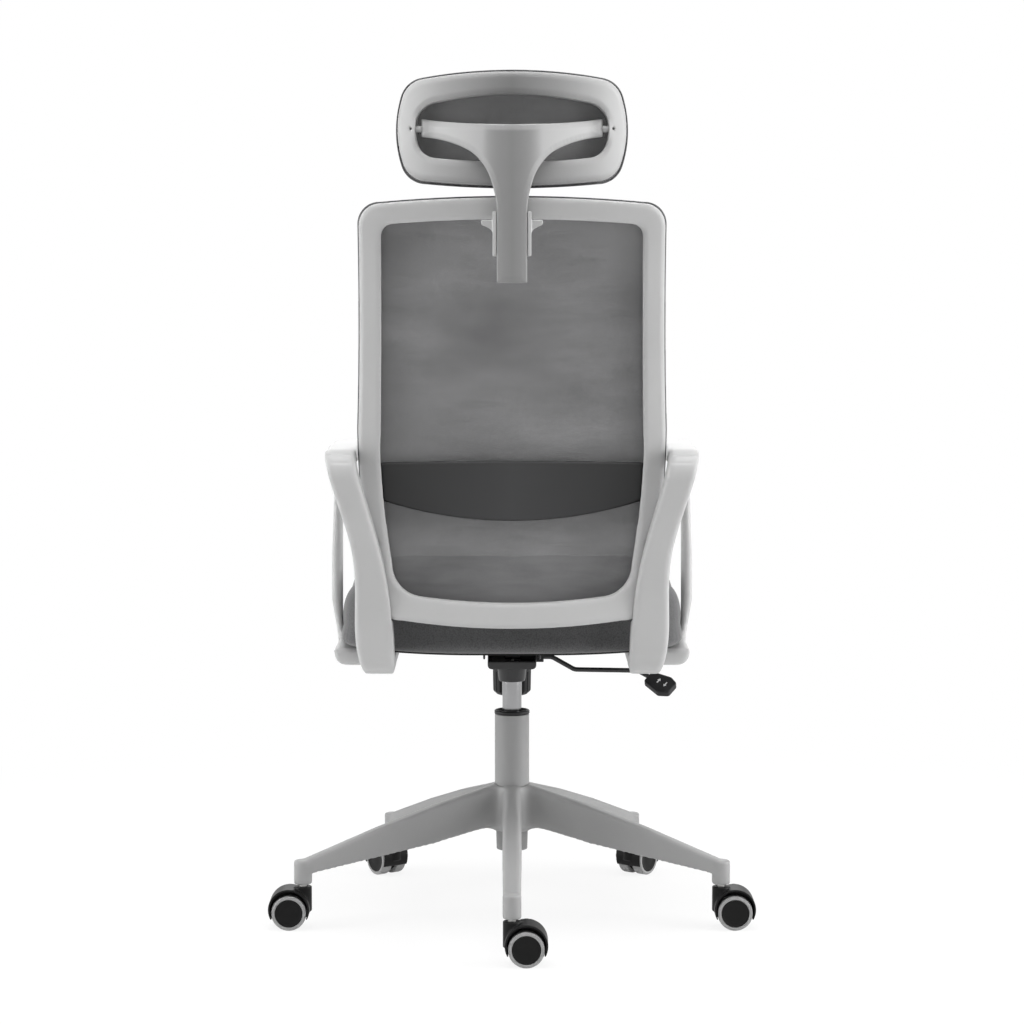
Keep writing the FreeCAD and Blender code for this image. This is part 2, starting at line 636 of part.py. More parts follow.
def lever_paddle():
    """A flat five-sided grip on the lever's end, bored for the rod."""
    outline = [V(-22, -10.5, 0), V(7, -17, 0), V(21, -9, 0), V(21, 12, 0), V(8, 17, 0),
               V(-22, 11, 0)]
    grip = prism(rounded_wire(outline, (4, 6, 5, 5, 6, 4)), V(0, 0, PADDLE_T))
    grip.translate(V(0, 0, -PADDLE_T / 2))
    grip = grip.makeFillet(1.5, grip.Edges)
    along = V(PADDLE_LENGTH).normalize()
    face = along.cross(PADDLE_WIDTH).normalize()
    side = face.cross(along)
    turn = FreeCAD.Matrix(along.x, side.x, face.x, 0, along.y, side.y, face.y, 0,
                          along.z, side.z, face.z, 0, 0, 0, 0, 1)
    grip = grip.transformGeometry(turn)
    grip.translate(PADDLE_AT + V(0, 0, LEVER_Z - PADDLE_DROP))
    return grip.cut(lever_rod())


# ---- seat ---------------------------------------------------------------------------------
def seat_outline(inset, z):
    """The seat seen from above: square in front, bowed at the rear."""
    half = CUSHION_HALF_W - inset
    front = CUSHION_FRONT - inset
    rear = CUSHION_REAR + inset
    points = [V(-half, front, z), V(half, front, z), V(half, rear + 64, z), V(110, rear, z),
              V(-110, rear, z), V(-half, rear + 64, z)]
    return rounded_wire(points, (80, 80, 90, 230, 230, 90))


def seat_bolt_places():
    return [(side * SEAT_BOLT_X, y) for side in (-1, 1) for y in SEAT_BOLT_Y]


def seat_bolt_rods(diameter, low, high):
    return [rod(diameter, V(x, y, low), V(x, y, high)) for x, y in seat_bolt_places()]


def arm_bolt_rods(diameter, low, high):
    return [rod(diameter, V(side * ARM_BOLT_X, y, low), V(side * ARM_BOLT_X, y, high))
            for side in (-1, 1) for y in ARM_BOLT_Y]


def seat_board():
    board = prism(seat_outline(BOARD_INSET, BOARD_Z), V(0, 0, BOARD_T))
    head_way = rod(BOARD_HOLE_D, V(0, BOLT_Y, BOARD_Z), V(0, BOLT_Y, BOARD_Z + BOARD_T))
    holes = seat_bolt_rods(SEAT_BOLT_D, BOARD_Z, BOARD_Z + BOARD_T - BOLT_SHORT)
    holes += arm_bolt_rods(SEAT_BOLT_D, BOARD_Z, BOARD_Z + BOARD_T - BOLT_SHORT)
    return board.cut([head_way] + holes)


def seat_cushion():
    """The upholstered pad: bulging sides, and a pocket underneath for the board."""
    levels = ((0, 9), (0.15, 2), (0.42, 0), (0.72, 3), (0.91, 14), (1, 34))
    wires = [seat_outline(inset, CUSHION_Z + CUSHION_H * level) for level, inset in levels]
    pad = Part.makeLoft(wires, True, True)
    pocket = prism(seat_outline(BOARD_INSET - SEAT_GAP, BOARD_Z), V(0, 0, BOARD_T + SEAT_GAP))
    return pad.cut(pocket)


def hex_bolts(places, shank_d, head_z, top_z):
    """Bolts with six-sided heads under a plate, pointing up."""
    bolts = []
    for x, y in places:
        turns = [math.pi / 3 * i for i in range(6)]
        corners = [V(x + HEX_R * math.cos(turn), y + HEX_R * math.sin(turn), head_z - HEX_H)
                   for turn in turns]
        head = prism(Part.makePolygon(corners + [corners[0]]), V(0, 0, HEX_H))
        bolts.append(fuse([head, rod(shank_d, V(x, y, head_z), V(x, y, top_z))]))
    return bolts


def seat_bolts():
    return hex_bolts(seat_bolt_places(), SEAT_BOLT_D, PLATE_Z, BOARD_Z + BOARD_T - BOLT_SHORT)


# ---- armrests -----------------------------------------------------------------------------
def arm_loop():
    """The armrest's closed loop in side view, cut right through the chair's width."""
    low = ARM_FOOT
    high = ARM_TOP
    outer = [V(0, ARM_REAR[0], high), V(0, ARM_FRONT[0], high - 2), V(0, ARM_FRONT[1], low),
             V(0, ARM_REAR[1], low)]
    pad_low = high - ARM_PAD_T
    bar_high = BOARD_Z
    inner = [V(0, ARM_REAR[0] + ARM_REAR_DEPTH[0], pad_low),
             V(0, ARM_FRONT[0] - ARM_FRONT_DEPTH, pad_low - 2),
             V(0, ARM_FRONT[1] - ARM_FRONT_DEPTH, bar_high),
             V(0, ARM_REAR[1] + ARM_REAR_DEPTH[1], bar_high)]
    ring = prism(rounded_wire(outer, (38, 46, 34, 26)), V(FAR, 0, 0))
    return ring.cut(prism(rounded_wire(inner, (22, 30, 24, 20)), V(FAR, 0, 0)))


def spline(points):
    curve = Part.BSplineCurve()
    curve.interpolate([V(x, 0, z) for x, z in points])
    return curve.toShape()


def arm_rear_part():
    """The rear leg seen from behind: wide at the pad's outside, narrowing inward to the foot."""
    pad_in = ARM_OUT - ARM_PAD_W
    top = ARM_TOP + 10
    outer = [(ARM_OUT, top), (ARM_OUT - 12, BOARD_Z + 238), (ARM_OUT - 30, BOARD_Z + 182),
             (ARM_OUT - 39, BOARD_Z + 145), (ARM_OUT - 42.5, BOARD_Z + 75), (ARM_OUT - 43, BOARD_Z + 24),
             (ARM_OUT - 55, ARM_FOOT)]
    inner = [(pad_in, top), (pad_in - 13, BOARD_Z + 238), (pad_in - 37, BOARD_Z + 155),
             (pad_in - 51, BOARD_Z + 85), (ARM_FOOT_IN, BOARD_Z + 30), (ARM_FOOT_IN, ARM_FOOT)]
    edges = [spline(outer), spline(inner),
             Part.makeLine(V(ARM_OUT, 0, top), V(pad_in, 0, top)),
             Part.makeLine(V(ARM_OUT - 55, 0, ARM_FOOT), V(ARM_FOOT_IN, 0, ARM_FOOT))]
    wire = Part.Wire(Part.__sortEdges__(edges))
    wire.translate(V(0, -FAR, 0))
    return prism(wire, V(0, FAR + ARM_SPLIT_Y, 0))


def arm_front_part():
    """The pad, the thin front leg outside the cushion, and the foot under the board."""
    pad_in = ARM_OUT - ARM_PAD_W
    leg_in = CUSHION_HALF_W + ARM_SEAT_GAP
    pad_low = ARM_TOP - ARM_PAD_T - 2
    points = [V(pad_in, 0, ARM_TOP + 1), V(pad_in, 0, pad_low), V(leg_in, 0, pad_low - 26),
              V(leg_in, 0, CUSHION_Z + 40), V(leg_in - 1.5, 0, CUSHION_Z + 13),
              V(leg_in - 8.5, 0, BOARD_Z), V(ARM_FOOT_IN, 0, BOARD_Z), V(ARM_FOOT_IN, 0, ARM_FOOT),
              V(ARM_BULGE - 14, 0, ARM_FOOT), V(ARM_BULGE, 0, BOARD_Z + 54),
              V(ARM_BULGE, 0, BOARD_Z + 120), V(ARM_OUT, 0, BOARD_Z + 240), V(ARM_OUT, 0, ARM_TOP + 1)]
    wire = rounded_wire(points, (0, 6, 20, 0, 0, 0, 0, 3, 16, 60, 0, 0, 0))
    wire.translate(V(0, ARM_SPLIT_Y, 0))
    return prism(wire, V(0, FAR, 0))


def frame_bolt_places():
    """Where the back frame is bolted to each armrest's rear leg: x and height."""
    return ((187.0, BACK_Z + 112), (180.0, BACK_Z + 50))


def frame_bolt_rods(side, diameter, start_y, end_y):
    return [rod(diameter, V(side * x, start_y, z), V(side * x, end_y, z)) for x, z in frame_bolt_places()]


def armrest(side):
    """One fixed loop armrest, with a rebate where the back frame seats against its rear leg."""
    body = arm_loop().common(fuse([arm_rear_part(), arm_front_part()]))
    for rear, grow in ((FRAME_REAR, 0), (FRAME_FRONT, MESH_GROW)):
        room = back_slab(rear - SEAT_GAP, 60).common(across(back_outline(grow + 2 * SEAT_GAP)))
        body = body.cut(room)
    body = body.cut(arm_bolt_rods(SEAT_BOLT_D, ARM_FOOT, BOARD_Z))
    body = body.cut(frame_bolt_rods(1, SEAT_BOLT_D, frame_bolt_end(), 0))
    solid = max(body.Solids, key=lambda one: one.Volume)
    return solid if side > 0 else mirrored(solid)


def frame_bolt_end():
    return -222.0


def arm_bolts():
    """Bolts up through each foot into the seat board, and from the back frame into each rear leg."""
    places = [(side * ARM_BOLT_X, y) for side in (-1, 1) for y in ARM_BOLT_Y]
    bolts = hex_bolts(places, SEAT_BOLT_D, ARM_FOOT, BOARD_Z + BOARD_T - BOLT_SHORT)
    for side in (-1, 1):
        for x, z in frame_bolt_places():
            head_y = back_y(x, z) + FRAME_FRONT - 8
            head = rod(SEAT_BOLT_D + 5, V(side * x, head_y, z), V(side * x, head_y + 5, z))
            shank = rod(SEAT_BOLT_D, V(side * x, frame_bolt_end(), z), V(side * x, head_y, z))
            bolts.append(fuse([head, shank]))
    return bolts


# ---- back ---------------------------------------------------------------------------------
def back_y(x, z):
    """The back's middle surface, near enough to place a bolt in it."""
    height = z - BACK_Z
    for (low, low_y), (high, high_y) in zip(BACK_LINE, BACK_LINE[1:]):
        if height <= high:
            break
    y = low_y + (high_y - low_y) * (height - low) / (high - low)
    return y + BACK_BEND * (x / BACK_BEND_AT) ** 2


def back_slab(rear, front):
    """A curved slab between two distances from the back's middle surface."""
    half = BACK_BEND_AT + 30
    bend = BACK_BEND * (half / BACK_BEND_AT) ** 2
    wires = []
    for height, y in BACK_LINE:
        z = BACK_Z + height
        ends = []
        edges = []
        for offset in (rear, front):
            left = V(-half, y + offset + bend, z)
            right = V(half, y + offset + bend, z)
            edges.append(arc(left, V(0, y + offset, z), right))
            ends.append((left, right))
        edges.append(Part.makeLine(ends[0][0], ends[1][0]))
        edges.append(Part.makeLine(ends[0][1], ends[1][1]))
        wires.append(Part.Wire(Part.__sortEdges__(edges)))
    return Part.makeLoft(wires, True, False)


def back_outline(grow):
    """The back's outer outline: arched top, rounded shoulders, sides drawn in to the base."""
    top = BACK_TOP + grow
    low = BACK_Z - grow
    top_end = V(TOP_HALF - 30 + grow / 2, 0, top - TOP_ARCH)
    side_top = V(TOP_HALF + grow, 0, top - 38)
    shoulder = V(SHOULDER_HALF + grow, 0, BACK_Z + 270)
    base = V(BASE_HALF + grow, 0, BACK_Z + 46)
    low_end = V(BASE_HALF - 40 + grow / 2, 0, low + BOTTOM_ARCH)
    return symmetric_wire([
        arch(top, top_end.x, top_end.z),
        arc(top_end, V(TOP_HALF - 8.5 + grow, 0, top - 16.5), side_top),
        arc(side_top, V(TOP_HALF + 1.4 + grow, 0, BACK_Z + 410), shoulder),
        arc(shoulder, V(SHOULDER_HALF - 6.5 + grow, 0, BACK_Z + 150), base),
        arc(base, V(BASE_HALF - 10.5 + grow, 0, low + 20), low_end),
        arch(low, low_end.x, low_end.z)])


def back_opening(grow):
    """The opening that the mesh is seen through."""
    top = BACK_TOP - TOP_RAIL + grow
    low = BACK_Z + BOTTOM_RAIL - grow
    half = TOP_HALF - SIDE_RAIL + grow
    top_end = V(half - 16, 0, top - TOP_ARCH + 1.5)
    side_top = V(half, 0, top - 22)
    waist = V(SHOULDER_HALF - SIDE_RAIL - 0.5 + grow, 0, BACK_Z + 240)
    base = V(BASE_HALF - 25 + grow, 0, BACK_Z + 85)
    low_end = V(BASE_HALF - 65, 0, low + 7.5)
    return symmetric_wire([
        arch(top, top_end.x, top_end.z),
        arc(top_end, V(half - 4.5, 0, top - 11), side_top),
        arc(side_top, V(half + 2, 0, BACK_Z + 400), waist),
        arc(waist, V(waist.x - 5.5, 0, BACK_Z + 160), base),
        arc(base, V(BASE_HALF - 36 + grow, 0, low + 22), low_end),
        arch(low, low_end.x, low_end.z)])


def back_ring(rear, front, grow, opening_grow):
    """A frame between two surfaces of the back, inside the outline and round the opening."""
    ring = across(back_outline(grow)).cut(across(back_opening(opening_grow)))
    return back_slab(rear, front).common(ring)


def band_groove():
    """The rebate in each side rail that the lumbar band's ends slide in."""
    end_top = BACK_Z + BAND_RISE + BAND_H - BAND_END_DROP
    low = end_top - BAND_END_H - BAND_TRAVEL - GROOVE_MARGIN
    high = end_top + BAND_TRAVEL + GROOVE_MARGIN
    wall = BAND_HALF + LOOSE_GAP
    block = box((-wall, wall), (-FAR, FAR), (low, high))
    return back_slab(GROOVE_REAR, 60).common(block)


def back_frame():
    ring = back_ring(FRAME_REAR, FRAME_FRONT, 0, 0)
    cuts = [band_groove()]
    for side in (-1, 1):
        cuts += frame_bolt_rods(side, SEAT_BOLT_D, -FAR, 0)
        for x, z in frame_bolt_places():
            head_y = back_y(x, z) + FRAME_FRONT - 8
            cuts.append(rod(SEAT_BOLT_D + 5, V(side * x, head_y, z), V(side * x, 0, z)))
    return ring.cut(cuts + holder_screw_rods(HOLDER_SCREW_D, -FAR, holder_screw_end()))


def mesh_carrier():
    rear = FRAME_FRONT + SEAT_GAP
    return back_ring(rear, rear + CARRIER_T, MESH_GROW, 2.0)


def back_mesh():
    rear = FRAME_FRONT + CARRIER_T + 2 * SEAT_GAP
    return back_slab(rear, rear + MESH_T).common(across(back_outline(MESH_GROW)))


def lumbar_band():
    """A springy plastic band behind the mesh, with its ends in the rails' rebates."""
    low = BACK_Z + BAND_RISE
    top = low + BAND_H
    end_top = top - BAND_END_DROP
    end_low = end_top - BAND_END_H
    edges = [arch(top, BAND_HALF, end_top), arch(low, BAND_HALF, end_low),
             Part.makeLine(V(BAND_HALF, 0, end_top), V(BAND_HALF, 0, end_low))]
    return back_slab(BAND_REAR, BAND_REAR + BAND_T).common(across(symmetric_wire(edges)))


# ---- headrest -----------------------------------------------------------------------------
def bowed_slab(half, sag, rear_y, thickness, low, high):
    """An upright slab bent to an arc in plan, its ends forward of its middle."""
    radius = (half ** 2 + sag ** 2) / (2 * sag)
    centre = V(0, rear_y + radius, low)
    outer = Part.makeCylinder(radius, high - low, centre)
    inner = Part.makeCylinder(radius - thickness, high - low, centre)
    keep = box((-FAR, FAR), (rear_y - 1, rear_y + radius * 0.8), (low, high))
    return outer.cut(inner).common(keep)


def head_outline(grow):
    """The headrest's outline: arched top and bottom, full rounded ends."""
    top = HEAD_TOP + grow
    low = HEAD_Z - grow
    half = HEAD_HALF + grow
    top_end = V(half - 34, 0, top - 8.5)
    side_top = V(half - 6.5, 0, top - 33)
    side_low = V(half - 7.5, 0, low + 31)
    low_end = V(half - 40, 0, low + 6.5)
    return symmetric_wire([
        arch(top, top_end.x, top_end.z),
        arc(top_end, V(half - 16.5, 0, top - 16.5), side_top),
        arc(side_top, V(half, 0, HEAD_Z + 73), side_low),
        arc(side_low, V(half - 18, 0, low + 15), low_end),
        arch(low, low_end.x, low_end.z)])


def head_opening():
    top = HEAD_TOP - HEAD_BAND
    low = HEAD_Z + HEAD_BAND + 1
    half = HEAD_HALF - HEAD_SIDE
    top_end = V(half - 33, 0, top - 8.8)
    side_top = V(half - 1.5, 0, top - 31)
    side_low = V(half - 1.5, 0, low + 30)
    low_end = V(half - 22, 0, low + 6.5)
    return symmetric_wire([
        arch(top, top_end.x, top_end.z),
        arc(top_end, V(half - 12, 0, top - 16.3), side_top),
        arc(side_top, V(half, 0, (side_top.z + side_low.z) / 2), side_low),
        arc(side_low, V(half - 8, 0, low + 15.5), low_end),
        arch(low, low_end.x, low_end.z)])


def head_axis_y():
    """The headrest's tilt axis: inside the frame's thickness at its ends."""
    half = HEAD_HALF - HEAD_SIDE
    radius = (HEAD_HALF ** 2 + HEAD_SAG ** 2) / (2 * HEAD_SAG)
    return HEAD_Y + radius - math.sqrt(radius ** 2 - half ** 2) + PIVOT_BACK


def head_pin_rods(diameter, start, end):
    y = head_axis_y()
    return [rod(diameter, V(side * start, y, HEAD_AXIS_Z), V(side * end, y, HEAD_AXIS_Z))
            for side in (-1, 1)]


def headrest_frame():
    slab = bowed_slab(HEAD_HALF, HEAD_SAG, HEAD_Y, HEAD_T, HEAD_Z - 10, HEAD_TOP + 10)
    ring = across(head_outline(0)).cut(across(head_opening()))
    half = HEAD_HALF - HEAD_SIDE
    return slab.common(ring).cut(head_pin_rods(STEM_PIN_D, half - 10, half + PIN_INTO_HEAD))


def headrest_mesh():
    radius = (HEAD_HALF ** 2 + HEAD_SAG ** 2) / (2 * HEAD_SAG)
    inner = radius - HEAD_T - SEAT_GAP
    sag = inner - math.sqrt(inner ** 2 - HEAD_HALF ** 2)
    slab = bowed_slab(HEAD_HALF, sag, HEAD_Y + HEAD_T + SEAT_GAP, MESH_T, HEAD_Z - 10, HEAD_TOP + 10)
    return slab.common(across(head_outline(MESH_GROW - 0.5)))


def stem_rear_y():
    return HEAD_Y - STEM_GAP - STEM_T


def stem_low_z():
    return BACK_TOP - STEM_DROP


def stem_slab(low, high):
    """The stem seen from above: level in the middle, its arms swept forward to the axis."""
    rear = stem_rear_y()
    tip = head_axis_y() - STEM_T / 2
    half = STEM_ARM_HALF
    line = [(-half, tip), (STEM_TIP_FLAT - half, tip), (-STEM_FLAT, rear), (STEM_FLAT, rear),
            (half - STEM_TIP_FLAT, tip), (half, tip)]
    points = [V(x, y, low) for x, y in line] + [V(x, y + STEM_T, low) for x, y in reversed(line)]
    return prism(rounded_wire(points, (0, 30, 45, 45, 30, 0) * 2), V(0, 0, high - low))


def headrest_stem():
    """The T-shaped arm: a flat bar that flares into two arms swept forward to the pivots."""
    arm_top = HEAD_AXIS_Z + STEM_ARM_H / 2 + 1.5
    arm_low = arm_top - STEM_ARM_H
    low = stem_low_z()
    bar_top = V(STEM_HALF, 0, HEAD_Z - 34)
    neck = V(STEM_NECK_HALF, 0, HEAD_Z)
    elbow = V(55, 0, arm_low - 20.5)
    tip_low = V(STEM_ARM_HALF, 0, arm_low)
    tip_top = V(STEM_ARM_HALF, 0, arm_top)
    edges = [arch(arm_top - STEM_ARM_DIP, STEM_ARM_HALF, arm_top),
             Part.makeLine(tip_top, tip_low),
             arc(tip_low, V(82, 0, arm_low - 8), elbow),
             arc(elbow, V(36, 0, HEAD_Z + 24), neck),
             arc(neck, V(STEM_HALF + 1.6, 0, HEAD_Z - 18), bar_top),
             Part.makeLine(bar_top, V(STEM_HALF, 0, low)),
             Part.makeLine(V(STEM_HALF, 0, low), V(0, 0, low))]
    tee = stem_slab(low - 10, arm_top + 10).common(across(symmetric_wire(edges)))
    return tee.cut(head_pin_rods(STEM_PIN_D + 2 * RUNNING_GAP, STEM_ARM_HALF - PIN_INTO_STEM - 2,
                                 STEM_ARM_HALF + 5))


def headrest_pins():
    """A short pivot pin in each end of the headrest frame."""
    half = HEAD_HALF - HEAD_SIDE
    return head_pin_rods(STEM_PIN_D, STEM_ARM_HALF - PIN_INTO_STEM, half + PIN_INTO_HEAD)


def holder_screw_end():
    return stem_rear_y() + STEM_T + 26


def holder_screw_rods(diameter, start_y, end_y):
    z = BACK_TOP - HOLDER_TOP - 4
    return [rod(diameter, V(side * HOLDER_SCREW_X, start_y, z), V(side * HOLDER_SCREW_X, end_y, z))
            for side in (-1, 1)]


def headrest_holder():
    """A channel on the back frame's top rail that the headrest's bar slides in."""
    top = BACK_TOP - HOLDER_TOP
    low = top - HOLDER_H
    inner = STEM_HALF + LOOSE_GAP
    outer = inner + HOLDER_WALL
    plate_rear = stem_rear_y() + STEM_T + SEAT_GAP + 1.5
    plate = box((-outer, outer), (plate_rear, plate_rear + HOLDER_PLATE), (low, top))
    pad = box((-outer, outer), (plate_rear, plate_rear + 40), (BACK_TOP - TOP_RAIL + 1, top))
    flange = box((inner, outer), (stem_rear_y() + 2, plate_rear + HOLDER_PLATE), (low, top))
    wing = [V(outer - 1, plate_rear, low + 30), V(outer + 3, plate_rear, low + 36),
            V(HOLDER_WING_HALF, plate_rear, low + 42), V(HOLDER_WING_HALF, plate_rear, low + 48),
            V(outer - 1, plate_rear, low + 48)]
    wing = prism(rounded_wire(wing, (0, 3, 2, 2, 0)), V(0, HOLDER_PLATE, 0))
    whole = fuse([plate, pad, flange, mirrored(flange), wing, mirrored(wing)])
    whole = whole.cut(back_slab(FRAME_REAR - SEAT_GAP, 60))
    head_room = holder_screw_rods(2 * HOLDER_SCREW_D, plate_rear - 1, plate_rear + 3)
    way = holder_screw_rods(HOLDER_SCREW_D, plate_rear, plate_rear + 60)
    whole = whole.cut(head_room + way)
    return max(whole.Solids, key=lambda one: one.Volume)


def holder_screws():
    """Two sunk-head screws through the holder into the top rail."""
    plate_rear = stem_rear_y() + STEM_T + SEAT_GAP + 1.5
    heads = holder_screw_rods(2 * HOLDER_SCREW_D, plate_rear + 0.4, plate_rear + 3)
    shanks = holder_screw_rods(HOLDER_SCREW_D, plate_rear + 3, holder_screw_end())
    return [fuse([head, shank]) for head, shank in zip(heads, shanks)]


# ---- casters ------------------------------------------------------------------------------
# One caster is built with its stem on the Z axis and its axle TRAIL along +X.
def stem_foot_z():
    """The stem ends above the wheels, which run on both sides of it."""
    return AXLE_Z + math.sqrt((WHEEL_D / 2) ** 2 - (TRAIL - STEM_D / 2) ** 2) + 1.5


def wheel_rod(diameter, start, end):
    """A cylinder about the axle, from one distance across it to another."""
    return rod(diameter, V(TRAIL, start, AXLE_Z), V(TRAIL, end, AXLE_Z))


def caster_body():
    """The hood: a band over both wheels, a middle web for the axle, and the stem's boss."""
    half = WHEEL_SPACING / 2 + WHEEL_W
    web = WHEEL_SPACING / 2 - SEAT_GAP
    centre = V(TRAIL, 0, AXLE_Z + HOOD_LIFT)
    side = V(0, half, 0)
    inside = rod(2 * (HOOD_R - HOOD_T), centre - side, centre + side)
    band = rod(2 * HOOD_R, centre - side, centre + side).cut(inside)
    below = box((TRAIL - FAR, TRAIL + FAR), (-FAR, FAR), (-FAR, AXLE_Z - HOOD_FOOT))
    disc = rod(2 * HOOD_R, centre - V(0, web, 0), centre + V(0, web, 0))
    boss = rod(BOSS_D, V(0, 0, AXLE_Z), V(0, 0, BOSS_TOP))
    whole = fuse([band.cut(below), disc.cut(below), boss])
    room_d = WHEEL_D + 2 * WHEEL_ROOM
    rooms = [wheel_rod(room_d, web, FAR), wheel_rod(room_d, -web, -FAR)]
    bore = rod(STEM_D + 2 * RUNNING_GAP, V(0, 0, stem_foot_z() - SEAT_GAP), V(0, 0, BOSS_TOP))
    axle_way = wheel_rod(AXLE_D, -FAR, FAR)
    mouth = box((TRAIL - 13, TRAIL + 60), (-FAR, FAR), (-FAR, AXLE_Z - HOOD_FOOT + 0.1))
    hood = whole.cut(rooms + [bore, axle_way, mouth])
    hood = max(hood.Solids, key=lambda one: one.Volume)
    end = half - 2
    return [hood, wheel_rod(AXLE_D, -end, end)]


def wheel_hub(side):
    """A wheel's hub: a dished disc with a raised cap, bored for the axle."""
    inner = side * WHEEL_SPACING / 2
    outer = side * (WHEEL_SPACING / 2 + WHEEL_W)
    rim = WHEEL_D - 2 * TYRE_T
    body = wheel_rod(rim, inner, outer)
    dish = wheel_rod(rim - 5, outer - side * 1.2, outer)
    cap = wheel_rod(16, outer - side * 1.2, outer - side * 0.2)
    bore = wheel_rod(AXLE_D + 2 * RUNNING_GAP, inner, outer - side * 1.8)
    return fuse([body.cut(dish), cap]).cut(bore)


def tyre(side):
    """The soft ring on a hub, rounded at both shoulders."""
    inner = side * WHEEL_SPACING / 2
    outer = side * (WHEEL_SPACING / 2 + WHEEL_W)
    ring = wheel_rod(WHEEL_D, inner, outer)
    rims = [edge for edge in ring.Edges if edge.Closed and abs(edge.Curve.Radius - WHEEL_D / 2) < 0.01]
    ring = ring.makeFillet(TYRE_EDGE, rims)
    return ring.cut(wheel_rod(WHEEL_D - 2 * TYRE_T, inner, outer))


def casters():
    """The five casters, each trailing in its own direction."""
    body = caster_body()
    sides = {"left": -1, "right": 1}
    for number, (point, turn) in enumerate(zip(stem_points(), TRAIL_TURNS), 1):
        save("caster_body_%d" % number, [placed(piece, turn, point) for piece in body])
        for name, side in sides.items():
            save("wheel_hub_%d_%s" % (number, name), placed(wheel_hub(side), turn, point))
            save("tyre_%d_%s" % (number, name), placed(tyre(side), turn, point))


# ---- the whole chair ----------------------------------------------------------------------
os.makedirs("parts", exist_ok=True)
save("star_base", star_base())
save("caster_stems", caster_stems())
save("gas_column", gas_column())
save("column_guide", column_guide())
save("thrust_bearing", thrust_bearing())
save("piston_rod", piston_rod())
save("gas_cylinder", gas_cylinder())
save("release_pin", release_pin())
save("mechanism_box", mechanism_box())
save("tilt_pivot_pin", tilt_pivot_pin())
save("pivot_washers", pivot_washers())
save("tilt_plate", tilt_plate())
save("tension_bolt", tension_bolt())
save("tension_knob", tension_knob())
save("tension_spring", tension_spring())
save("lever_sleeve", lever_sleeve())
save("lever_rod", lever_rod())
save("lever_paddle", lever_paddle())
save("seat_board", seat_board())
save("seat_cushion", seat_cushion())
save("seat_bolts", seat_bolts())
save("armrest_left", armrest(-1))
save("armrest_right", armrest(1))
save("arm_bolts", arm_bolts())
save("back_frame", back_frame())
save("mesh_carrier", mesh_carrier())
save("back_mesh", back_mesh())
save("lumbar_band", lumbar_band())
save("headrest_holder", headrest_holder())
save("holder_screws", holder_screws())
save("headrest_stem", headrest_stem())
save("headrest_frame", headrest_frame())
save("headrest_mesh", headrest_mesh())
save("headrest_pins", headrest_pins())
casters()
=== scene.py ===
# %% [markdown]
# # An office chair with a mesh back
# The CAD frame says where every part of the chair is and how it moves. This lesson dresses that frame:
# moulded plastics get their soft edges, cloth gets its weave, and metal gets its polish.
# Everything is in metres, +Z is up, and the chair faces along +Y, so a viewer at -Y sees its back.

# %% The frame
import json
import math
import bmesh
import bpy
import numpy as np
from mathutils import Matrix, Vector
from mathutils.bvhtree import BVHTree
from mathutils.kdtree import KDTree

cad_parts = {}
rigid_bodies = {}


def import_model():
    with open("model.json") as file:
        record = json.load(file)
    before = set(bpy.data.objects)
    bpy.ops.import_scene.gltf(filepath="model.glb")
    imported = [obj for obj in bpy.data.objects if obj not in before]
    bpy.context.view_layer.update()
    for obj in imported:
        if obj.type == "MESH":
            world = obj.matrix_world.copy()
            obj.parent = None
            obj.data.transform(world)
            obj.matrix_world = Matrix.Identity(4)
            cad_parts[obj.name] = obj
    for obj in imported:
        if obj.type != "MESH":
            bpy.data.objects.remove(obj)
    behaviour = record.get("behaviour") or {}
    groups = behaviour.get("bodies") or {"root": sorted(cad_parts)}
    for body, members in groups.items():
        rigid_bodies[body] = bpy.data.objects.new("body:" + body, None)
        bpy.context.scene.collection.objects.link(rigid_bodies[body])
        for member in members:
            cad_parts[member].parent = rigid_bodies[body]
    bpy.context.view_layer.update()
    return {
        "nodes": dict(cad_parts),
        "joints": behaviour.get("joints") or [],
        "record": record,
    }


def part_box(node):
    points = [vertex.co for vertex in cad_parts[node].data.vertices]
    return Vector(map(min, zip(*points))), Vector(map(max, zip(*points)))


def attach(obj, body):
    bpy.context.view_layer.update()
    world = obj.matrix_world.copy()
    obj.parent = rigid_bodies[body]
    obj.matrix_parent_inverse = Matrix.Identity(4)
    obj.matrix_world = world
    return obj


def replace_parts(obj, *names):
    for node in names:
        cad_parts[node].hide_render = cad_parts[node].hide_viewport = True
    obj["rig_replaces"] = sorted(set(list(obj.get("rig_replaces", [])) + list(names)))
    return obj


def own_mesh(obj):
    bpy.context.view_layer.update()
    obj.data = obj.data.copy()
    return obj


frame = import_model()
MM = 0.001
joints = {joint["name"]: joint for joint in frame["joints"]}
bodies = frame["record"]["behaviour"]["bodies"]
body_of_node = {node: body for body, nodes in bodies.items() for node in nodes}
slot_of_node = {part["node"]: part["material_slot"] for part in frame["record"]["subparts"]}

# %% [markdown]
# ## Shader sums
# A finish is easier to read when it is written as a sum. This small class wraps the output of a shader
# node, so that `1 - weave * 0.3` adds the nodes for it. Single numbers go through Math nodes, and colours
# and directions through Vector Math nodes, because a Math node would turn a colour grey.

